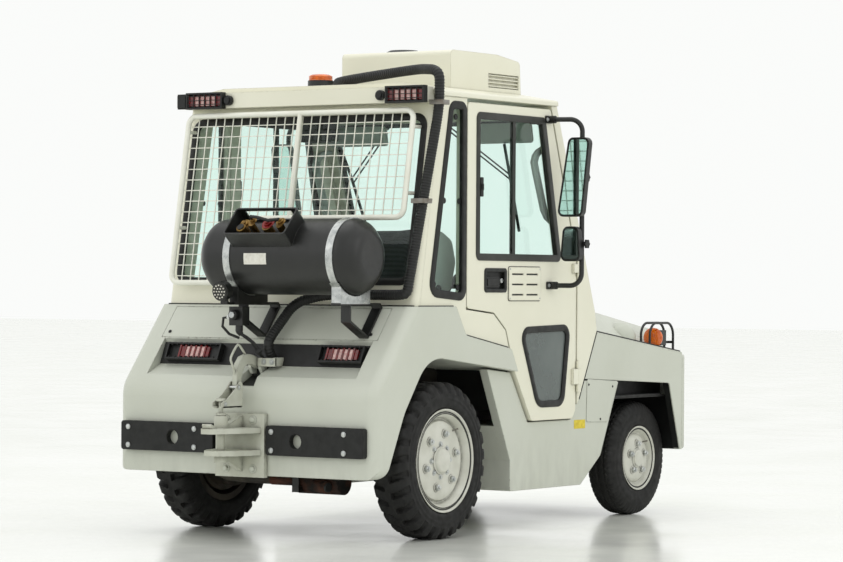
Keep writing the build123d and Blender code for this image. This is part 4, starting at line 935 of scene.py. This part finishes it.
ambers = Piece("amber_lamp_lenses", amber_lens)
MARK_X, MARK_Y, MARK_Z = 1925, 600, 837
for side in (1, -1):
    rib = [(0.3, 0), (0.3, 46), (8, 47)] + [(9 + k * 1.6, 45.2 if k % 2 else 47) for k in range(9)]
    rib += [(25, 43), (29, 30), (31, 0)]
    ambers.lathe(rib, at(MARK_X - 26, side * MARK_Y, MARK_Z), (-1, 0, 0), 0, 40)
dome = [(0, 0), (0, 52), (3, 53)] + [(4 + k * 1.8, 50.6 if k % 2 else 52) for k in range(9)]
dome += [(22, 49), (27, 38), (28.3, 0)]
ambers.lathe(dome, at(0, 0, 1968.3), (0, 0, 1), 0, 48)
ambers.done("chassis", replaces=["amber_lamps"], slot="lamp_amber", smooth=50)

# Fasteners and plates on the body.
trim = Piece("body_fasteners", zinc, black_plastic, body_paint, tag_yellow)
BACK = (-1, 0, 0)
for y in (597, 239, -168, -539):
    for z in (463, 385):
        foot = at(-575, y, z)
        trim.rod(foot, foot + Vector((-3 * MM, 0, 0)), 12, 0, 22)
        trim.screw(foot + Vector((-2.5 * MM, 0, 0)), BACK, 9.5, 0)
for y in (70, -70):
    for z in (510, 304):
        trim.bolt(at(-569, y, z), BACK, 12, 13, 2)
for y in (539, -526):
    trim.screw(at(-363, y, 872), (-0.78, 0, 0.63), 8, 1)
ACCESS = rounded([(1211, 656), (1493, 641), (1394, 454), (1205, 460)], 10, 3)
for side in (1, -1):
    place = on_skirt(side)
    trim.slab(ACCESS, place, 0.1, 2.2, 2)
    for x, z in ((1225, 630), (1440, 617), (1330, 470)):
        trim.screw(place(x, z, 2.2), (0, side, 0), 5.5, 1)
tag = rounded([(1098, 432), (1196, 432), (1196, 472), (1098, 472)], 4, 3)
trim.slab(tag, on_skirt(-1), 0.1, 1.2, 3)
trim.done("chassis", bevel=0.5, slot="body_paint")

# Blank label wrapped on the cylinder, strap clamps and fittings in the collar.
fittings = Piece("cylinder_fittings", label_white, zinc, brass, red_plastic, black_plastic, dark_metal)
TANK_X, TANK_Z, TANK_R, SADDLE_R = -470, 1196, 160, 164.6


def round_tank(angle, out, y):
    """Point on the cylinder; the angle starts at the rear and rises."""
    reach = TANK_R + out
    return at(TANK_X - reach * math.cos(angle), y, TANK_Z + reach * math.sin(angle))


LABEL = ((0.1, -60), (0.9, -60), (0.9, -176), (0.1, -176))
CLAMP = ((4, -20), (9, -20), (9, 20), (4, 20))
rings = []
for step in range(7):
    angle = math.radians(-12 + step * 2.8)
    rings.append([round_tank(angle, out, y) for out, y in LABEL])
fittings.skin(rings, 0)
for y in (32, -498):
    for angle in (math.radians(-62), math.radians(242)):
        turns = (angle - 0.1, angle + 0.1)
        fittings.skin([[round_tank(turn, out, y + dy) for out, dy in CLAMP] for turn in turns], 1)
        way = round_tank(angle, 20, y) - round_tank(angle, 0, y)
        fittings.bolt(round_tank(angle, 9, y), way, 8, 14, 1)
LEAN = math.radians(42)
out_way = Vector((-math.cos(LEAN), 0, math.sin(LEAN)))
slant = Vector((math.sin(LEAN), 0, math.cos(LEAN)))


def in_collar(along, up, out):
    """Point in the collar, out from the cylinder's skin."""
    return at(TANK_X, -148 + along, TANK_Z) + (out_way * (TANK_R + out) + slant * up) * MM


for along, up, out, size in ((-95, 8, 44, 15), (-25, 8, 35, 20), (45, 8, 51, 12), (100, 8, 29, 19)):
    mat = 3 if along == -25 else 2
    fittings.bolt(in_collar(along, up, out), out_way, size * 0.95, 12, mat)
    fittings.rod(in_collar(along, up, out + 10), in_collar(along, up, out + 18), size * 0.55, mat, 18)
LINK = ((45, 8, 70), (40, 6, 82), (5, 0, 84), (-50, -6, 70), (-95, 8, 62))
fittings.tube([in_collar(*point) for point in LINK], 7, 4)
fittings.rod(in_collar(100, -20, 20), in_collar(100, -20, 46), 22, 2, 24)
fittings.rod(in_collar(100, -20, 46), in_collar(100, -20, 49), 16, 4, 24)
saddle = [(-575.6, 1000), (-575.6, 1075.5)]
for step in range(13):
    angle = math.radians(222 + step * 8)
    saddle.append((TANK_X + SADDLE_R * math.cos(angle), TANK_Z + SADDLE_R * math.sin(angle)))
saddle += [(-364.4, 1075.5), (-364.4, 1000)]
fittings.across(saddle, -521.8, -474.2, 1)
lamp_way = Vector((-38, 0, -6)).normalized()
lamp_face = at(-650, 48, 1048)
fittings.rod(lamp_face - lamp_way * 2 * MM, lamp_face + lamp_way * 4 * MM, 35, 5, 32)
across, rise = Vector((0, 1, 0)), lamp_way.cross(Vector((0, 1, 0))).normalized()
for ring, number in ((0, 1), (14, 6), (27, 12)):
    for step in range(number):
        turn = 2 * math.pi * step / number
        spot = lamp_face + (across * math.cos(turn) + rise * math.sin(turn)) * ring * MM + lamp_way * 3 * MM
        fittings.rod(spot, spot + lamp_way * 4 * MM, 3.2, 0, 12, dome=2)
fittings.done("chassis", slot="valve_brass")

# Tow lever: flat bar with an eye, a fork under the pin's head and a wire grip.
LEVER = (
    # centre line in X and Z with half the bar's width
    (-430, 738, 17), (-446, 742, 21), (-470, 752, 20), (-500, 762, 20), (-530, 764, 21), (-558, 755, 22),
    (-578, 734, 21), (-588, 705, 18), (-593, 670, 15), (-596, 630, 12.5), (-598, 595, 11),
    (-599, 566, 10.5),
)
lever = Piece("tow_lever_bar", hitch_paint, zinc)
left_edge, right_edge = [], []
for index, (x, z, half) in enumerate(LEVER):
    ahead = LEVER[min(index + 1, len(LEVER) - 1)]
    behind = LEVER[max(index - 1, 0)]
    way = Vector((ahead[0] - behind[0], ahead[1] - behind[1])).normalized()
    left_edge.append((x - way.y * half, z + way.x * half))
    right_edge.append((x + way.y * half, z - way.x * half))
bar = left_edge + right_edge[::-1]
lever.across(bar, -12, 12)
lever.rod(at(-446, -18, 742), at(-446, 18, 742), 19, 0, 28)
for side in (1, -1):
    tine = [(-592, 27), (-720, 27), (-729, 24), (-732, 17), (-728, 15), (-616, 15), (-604, 8), (-592, 8)]
    lever.skin([[at(x, side * y, z) for x, y in tine] for z in (561, 569)], 0)
lever.box(-606, -592, -9, 9, 561, 569, 0)
YOKE = rounded(
    [(-586, 563), (-730, 563), (-730, 583), (-690, 600), (-634, 640), (-600, 676), (-586, 660)],
    [6, 10, 8, 20, 30, 10, 10], 3,
)
for near, far in ((21.5, 27), (-27, -21.5)):
    lever.across(YOKE, near, far)
    for x, z in ((-612, 646), (-704, 578)):
        end = 1 if near > 0 else -1
        lever.bolt(at(x, end * 27, z), (0, end, 0), 7, 6, 1)
lever.rod(at(-612, -22, 646), at(-612, 22, 646), 7, 1, 16)
GRIP = [
    (-520, 770), (-548, 797), (-574, 821), (-586, 825), (-598, 817), (-622, 790), (-634, 772), (-635, 760),
    (-622, 736), (-604, 703), (-596, 690),
]
lever.tube([at(x, 0, z) for x, z in GRIP], 5, 0, 12)
lever.done("tow_lever", bevel=1.5, replaces=["coupler_lever"], slot="hitch_steel", smooth=35)

bracket = Piece("lever_bracket", hitch_paint, zinc, black_plastic)
bracket.box(-474, -462, -110, -20, 732, 768, 0)
bracket.box(-470, -408, -110, -98, 734, 770, 0)
for y in (-52, -94):
    bracket.bolt(at(-474, y, 752), (-1, 0, 0), 8, 8, 1)
NOTCH_PLATE = ((-45, 0), (45, 0), (45, 93), (-45, 93))
bracket.slab(NOTCH_PLATE, lambda u, v, out: at(-507.5 + v * 0.9, u, 650.6 + v * 0.43 + out), 0, 1.5, 2)
bracket.box(-426, -424.3, -45, 45, 691, 728, 2)
bracket.done("chassis", bevel=1.0, slot="hitch_steel")

# Pipes and a hanger below the rear end.
below = Piece("rear_underside", chassis_steel, rust, black_paint)
PIPE = ((-255, 55, 240), (-255, 180, 240), (-252, 300, 246), (-236, 380, 268), (-205, 420, 300))
below.tube([at(*point) for point in PIPE], 20, 0, 20)
below.rod(at(-307, -205, 226), at(-330, -285, 222), 26, 1, 28)
below.rod(at(-327, -276, 222.4), at(-331, -291, 221.8), 21, 2, 28)
below.box(-330, -252, -134, -100, 196, 222, 2)
below.box(-330, -318, -134, -100, 196, 290, 2)
below.tube([at(-300, -330, 262), at(-310, 0, 268), at(-300, 330, 262)], 12, 0, 14)
below.done("chassis", bevel=1.0, slot="black_steel")

# Black plates inboard of the rear wheels, above the axle.
walls = Piece("rear_wheelhouse_walls", chassis_steel, dark_metal)
WALL = rounded(
    [(-386, 488), (543, 488), (543, 700), (420, 742), (-300, 742), (-386, 660)], [4, 4, 30, 60, 60, 30], 5,
)
for side in (-1, 1):
    walls.across(WALL, side * 257, side * 261)
    for x in (-250, -60, 130, 320):
        rib = ((x - 14, 540), (x + 14, 540), (x + 14, 700), (x - 14, 700))
        walls.across(rib, side * 261, side * 269)
    for x in (-340, -155, 35, 225, 415):
        walls.bolt(at(x, side * 261, 508), (0, side, 0), 7, 6, 1)
walls.done("chassis", bevel=1.0, slot="black_steel")

# Thin cables tied from the regulator to the notch.
cables = Piece("gas_cables", black_plastic, zinc)
for shift, bow, radius in ((0, 0, 4), (9, 8, 3), (-9, -6, 3), (16, 20, 2.5)):
    low_y = -41 + shift / 3
    run = [(-535, 34 + shift, 884), (-542, 22 + shift, 872), (-539 - bow / 2, -8 + shift / 2, 858)]
    run += [(-522 - bow / 2, -36 + shift / 3, 832), (-490 - bow / 3, low_y, 794)]
    run += [(-458, low_y, 764), (-434, low_y, 745), (-416, low_y, 733)]
    cables.tube([at(*point) for point in run], radius, 0, 8)
for x, y, z in ((-539, 27, 876), (-494, -41, 798)):
    cables.rod(at(x - 6, y + 6, z - 7), at(x + 6, y - 6, z + 7), 13, 0, 16)
cables.rod(at(-560, 34, 950), at(-584, 34, 950), 22, 0, 24)
cables.rod(at(-583, 34, 950), at(-590, 34, 950), 14, 1, 18)
cables.rod(at(-535, 66, 940), at(-535, 92, 940), 13, 1, 6)
LOOP = ((-535, 88, 940), (-540, 112, 936), (-536, 120, 900), (-520, 96, 868), (-512, 50, 852))
cables.tube([at(*point) for point in LOOP], 6, 0, 10)
cables.done("chassis", bevel=0.6, slot="black_plastic")

# Wipers, visor, grab handles and seams on the cab.
cab = Piece("cab_trim", black_plastic, gasket_rubber, trim_grey)
RUBBER, TRIM = 1, 2
GRAB = [
    (912, 1700), (878, 1696), (842, 1682), (815, 1660), (803, 1632), (818, 1590), (888, 1421), (918, 1386),
    (960, 1366), (1016, 1358),
]
VISOR = rounded([(226, 1722), (560, 1722), (560, 1812), (226, 1812)], 16, 4)
for side in (1, -1):
    for shift in (-14, 0, 14):
        cab.tube([at(x + shift, side * 598, z) for x, z in GRAB], 10, TRIM, 10)
    cab.slab(VISOR, lambda u, v, out, side=side: at(852 + out - (v - 1712) * 0.2, side * u, v), 0, 12, TRIM)
WIPERS = (
    # pivot, end of the arm, blade's ends, each as y and z
    ((-40, 1815), (-335, 1585), (-342, 1725), (-332, 1330)),
    ((300, 1815), (545, 1585), (566, 1725), (510, 1340)),
)
for pivot, elbow, head, tail in WIPERS:
    hub = on_screen(*pivot, 2)
    cab.rod(hub, hub + Vector((26 * MM, 0, 0)), 15, 0, 18)
    for shift in (0, 24):
        arm = [on_screen(pivot[0], pivot[1] - shift, 22), on_screen(elbow[0], elbow[1] - shift, 10)]
        cab.tube(arm, 4, 0, 8)
    cab.tube([on_screen(*head, -5), on_screen(*elbow, 2), on_screen(*tail, -5)], 7, RUBBER, 10)
CORNER_BOX = rounded([(462, 1738), (600, 1738), (600, 1878), (462, 1878)], 16, 4)
cab.slab(CORNER_BOX, lambda u, v, out: at(660 + out, u, v), 0, 130)
CAB_SEAM = [(-200, 991), (64, 991), (144, 871), (505, 810)]
HOOD_EDGE = [(1280, 873), (2090, 768)]
PILLAR_EDGE = [(1269, 872), (1114, 567)]
cab.box(wall_x(990) - 3, wall_x(990) + 6, -650, 650, 986, 995, RUBBER)
for side in (1, -1):
    cab.tube([at(x, side * (CAB_HALF + 0.5), z) for x, z in CAB_SEAM], 3.2, RUBBER, 8)
    cab.tube([at(x, side * 561.5, z + 1) for x, z in HOOD_EDGE], 3, RUBBER, 8)
    cab.tube([at(x, side * (SKIRT_HALF - 7), z + 2) for x, z in HOOD_EDGE], 4.5, RUBBER, 8)
    cab.tube([at(x, side * (CAB_HALF - 1), z) for x, z in PILLAR_EDGE], 3.5, RUBBER, 8)
cab.done("chassis", slot="black_plastic")

# Corrugated hose over its route.
HOSE = [
    (329.7, 60, 1969), (250, 60, 1969), (150, 30, 1971), (60, -280, 1990), (15, -505, 2004),
    (-40, -585, 1998), (-85, -650, 1992), (-99, -688, 1970), (-101, -688, 1900), (-102, -688, 1830),
    (-140, -676, 1640), (-182, -662, 1430), (-222, -647, 1220), (-244, -637, 1100), (-254, -634, 1045),
    (-256, -600, 1038), (-256, -500, 1038), (-256, -330, 1038), (-256, -250, 1038), (-276, -180, 1028),
    (-335, -110, 1000), (-400, -85, 917), (-450, -64, 850), (-458, -62, 815), (-430, -62, 770),
    (-404, -62, 735),
]
curve = bpy.data.curves.new("hose_route", "CURVE")
curve.dimensions = "3D"
curve.resolution_u = 24
spline = curve.splines.new("NURBS")
spline.points.add(len(HOSE) - 1)
for point, place in zip(spline.points, HOSE):
    point.co = (*at(*place), 1.0)
spline.order_u = 3
spline.use_endpoint_u = True
route = bpy.data.objects.new("hose_route", curve)
bpy.context.scene.collection.objects.link(route)
line_mesh = bpy.data.meshes.new_from_object(route)
line = [vertex.co.copy() for vertex in line_mesh.vertices]
bpy.data.objects.remove(route)
bpy.data.meshes.remove(line_mesh)
lengths = [0.0]
for one, two in zip(line, line[1:]):
    lengths.append(lengths[-1] + (two - one).length)


def along_hose(distance):
    """Point on the hose's line at a distance from its start."""
    index = next((i for i in range(1, len(lengths) - 1) if lengths[i] >= distance), len(lengths) - 1)
    share = (distance - lengths[index - 1]) / (lengths[index] - lengths[index - 1])
    return line[index - 1].lerp(line[index], share)


RIB, RIB_HIGH, RIB_LOW = 3, 22, 20.3
count = int(lengths[-1] / (RIB * MM))
path = [along_hose(step * RIB * MM) for step in range(count)]
ribs = [RIB_HIGH if step % 4 < 2 else RIB_LOW for step in range(count)]
hose = Piece("hose_conduit", black_plastic)
hose.tube(path, ribs, 0, 20)
hose.done("chassis", replaces=["aircon_hose"], slot="black_plastic", smooth=25)


# Seat: stuffed forms blown up by cloth simulation.
SEAT_Y = -265
VOXEL, CAP, PRESSURE, FRAMES = 0.012, 0.012, 4, 20


def cushion(name, outline, half, node):
    """Padded block from a side outline; no corner moves further than the cap."""
    piece = Piece(name, seat_cloth)
    ring = grow(rounded(outline, 24, 4), -9)
    piece.across(ring, SEAT_Y + 10 - half, SEAT_Y + half - 10)
    pad = piece.done("chassis", replaces=[node], slot="seat_cloth", smooth=180)
    remesh = pad.modifiers.new("remesh", "REMESH")
    remesh.mode, remesh.voxel_size = "VOXEL", VOXEL
    view = bpy.context.evaluated_depsgraph_get()
    pad.data = bpy.data.meshes.new_from_object(pad.evaluated_get(view))
    pad.modifiers.clear()
    start = [vertex.co.copy() for vertex in pad.data.vertices]
    cloth = pad.modifiers.new("cloth", "CLOTH")
    cloth.settings.use_pressure = True
    cloth.settings.uniform_pressure_force = PRESSURE
    cloth.settings.effector_weights.gravity = 0
    for number in range(1, FRAMES + 1):
        bpy.context.scene.frame_set(number)
    view = bpy.context.evaluated_depsgraph_get()
    pad.data = bpy.data.meshes.new_from_object(pad.evaluated_get(view))
    pad.modifiers.clear()
    bpy.context.scene.frame_set(1)
    for vertex, place in zip(pad.data.vertices, start):
        move = vertex.co - place
        if move.length > CAP:
            vertex.co = place + move.normalized() * CAP
    pad.data.materials.clear()
    pad.data.materials.append(seat_cloth)
    smooth = pad.modifiers.new("subdivide", "SUBSURF")
    smooth.levels = smooth.render_levels = 1
    pad.data.shade_smooth()


# Armrest folded up beside the backrest, then the two cushions.
ARMREST = rounded(
    [(60, 1004), (140, 1004), (222, 1066), (256, 1180), (226, 1276), (150, 1312), (64, 1312), (44, 1180)],
    [15, 25, 40, 60, 50, 40, 25, 40], 5,
)
arm = Piece("seat_armrest", trim_grey, black_plastic)
ARM_RINGS = ((-14, -503), (-4, -507), (0, -516), (0, -532), (-4, -541), (-14, -545))
arm.skin([[at(x, y, z) for x, z in grow(ARMREST, reach)] for reach, y in ARM_RINGS])
arm.rod(at(110, -470, 1060), at(110, -551, 1060), 22, 1, 24)
arm.done("chassis", slot="seat_cloth", smooth=60)
SEAT_SIDE = [(150, 862), (505, 800), (548, 826), (505, 930), (150, 990)]
cushion("seat_pad", SEAT_SIDE, 235, "seat_cushion")
cushion("backrest_pad", [(15, 992), (170, 1000), (140, 1335), (48, 1335)], 230, "seat_back")

# Floor, light and camera.
floor_paint = plain(
    "studio_floor", (243, 244, 238), (237, 239, 231), 0.8, (0.12, 0.24, 1.5), Specular_IOR_Level=0.6,
)
floor_mesh = bpy.data.meshes.new("studio_floor")
floor_mesh.from_pydata([(-40, -40, 0), (60, -40, 0), (60, 60, 0), (-40, 60, 0)], [], [(0, 1, 2, 3)])
floor_mesh.materials.append(floor_paint)
floor = bpy.data.objects.new("studio_floor", floor_mesh)
bpy.context.scene.collection.objects.link(floor)

world = bpy.data.worlds.new("studio")
bpy.context.scene.world = world
world.use_nodes = True
backdrop = world.node_tree.nodes["Background"]
backdrop.inputs["Color"].default_value = (0.99, 1.0, 0.985, 1.0)
backdrop.inputs["Strength"].default_value = 0.97


def area_light(name, place, target, size, power):
    light = bpy.data.lights.new(name, "AREA")
    light.shape, light.size, light.energy = "SQUARE", size, power
    lamp = bpy.data.objects.new(name, light)
    lamp.location = place
    lamp.rotation_euler = (Vector(target) - Vector(place)).to_track_quat("-Z", "Y").to_euler()
    bpy.context.scene.collection.objects.link(lamp)


area_light("top_softbox", (0.0, 0.0, 6.0), (0, 0, 0), 5.0, 60)
area_light("rear_softbox", (-7.0, 2.5, 4.5), (0, 0, 0.8), 4.0, 24)
area_light("right_softbox", (-1.0, -7.5, 4.5), (0, 0, 0.8), 4.0, 44)

CAMERA = Vector((-11.907, -8.0467, 1.0815))
YAW, PITCH, ROLL = 0.589, 0.0012, 0.0061
ahead = Vector((math.cos(YAW), math.sin(YAW), 0))
right = Vector((math.sin(YAW), -math.cos(YAW), 0))
up = Vector((0, 0, 1))
forward = ahead * math.cos(PITCH) + up * math.sin(PITCH)
up = up * math.cos(PITCH) - ahead * math.sin(PITCH)
tilted = right * math.cos(ROLL) + up * math.sin(ROLL)
up = up * math.cos(ROLL) - right * math.sin(ROLL)
lens = bpy.data.cameras.new("camera")
lens.sensor_fit, lens.sensor_width, lens.lens = "HORIZONTAL", 36, 135.31
lens.clip_end = 200
camera = bpy.data.objects.new("camera", lens)
turned = Matrix((tilted, up, -forward)).transposed().to_4x4()
camera.matrix_world = Matrix.Translation(CAMERA) @ turned
bpy.context.scene.collection.objects.link(camera)
bpy.context.scene.camera = camera
bpy.context.scene.view_settings.view_transform = "Standard"
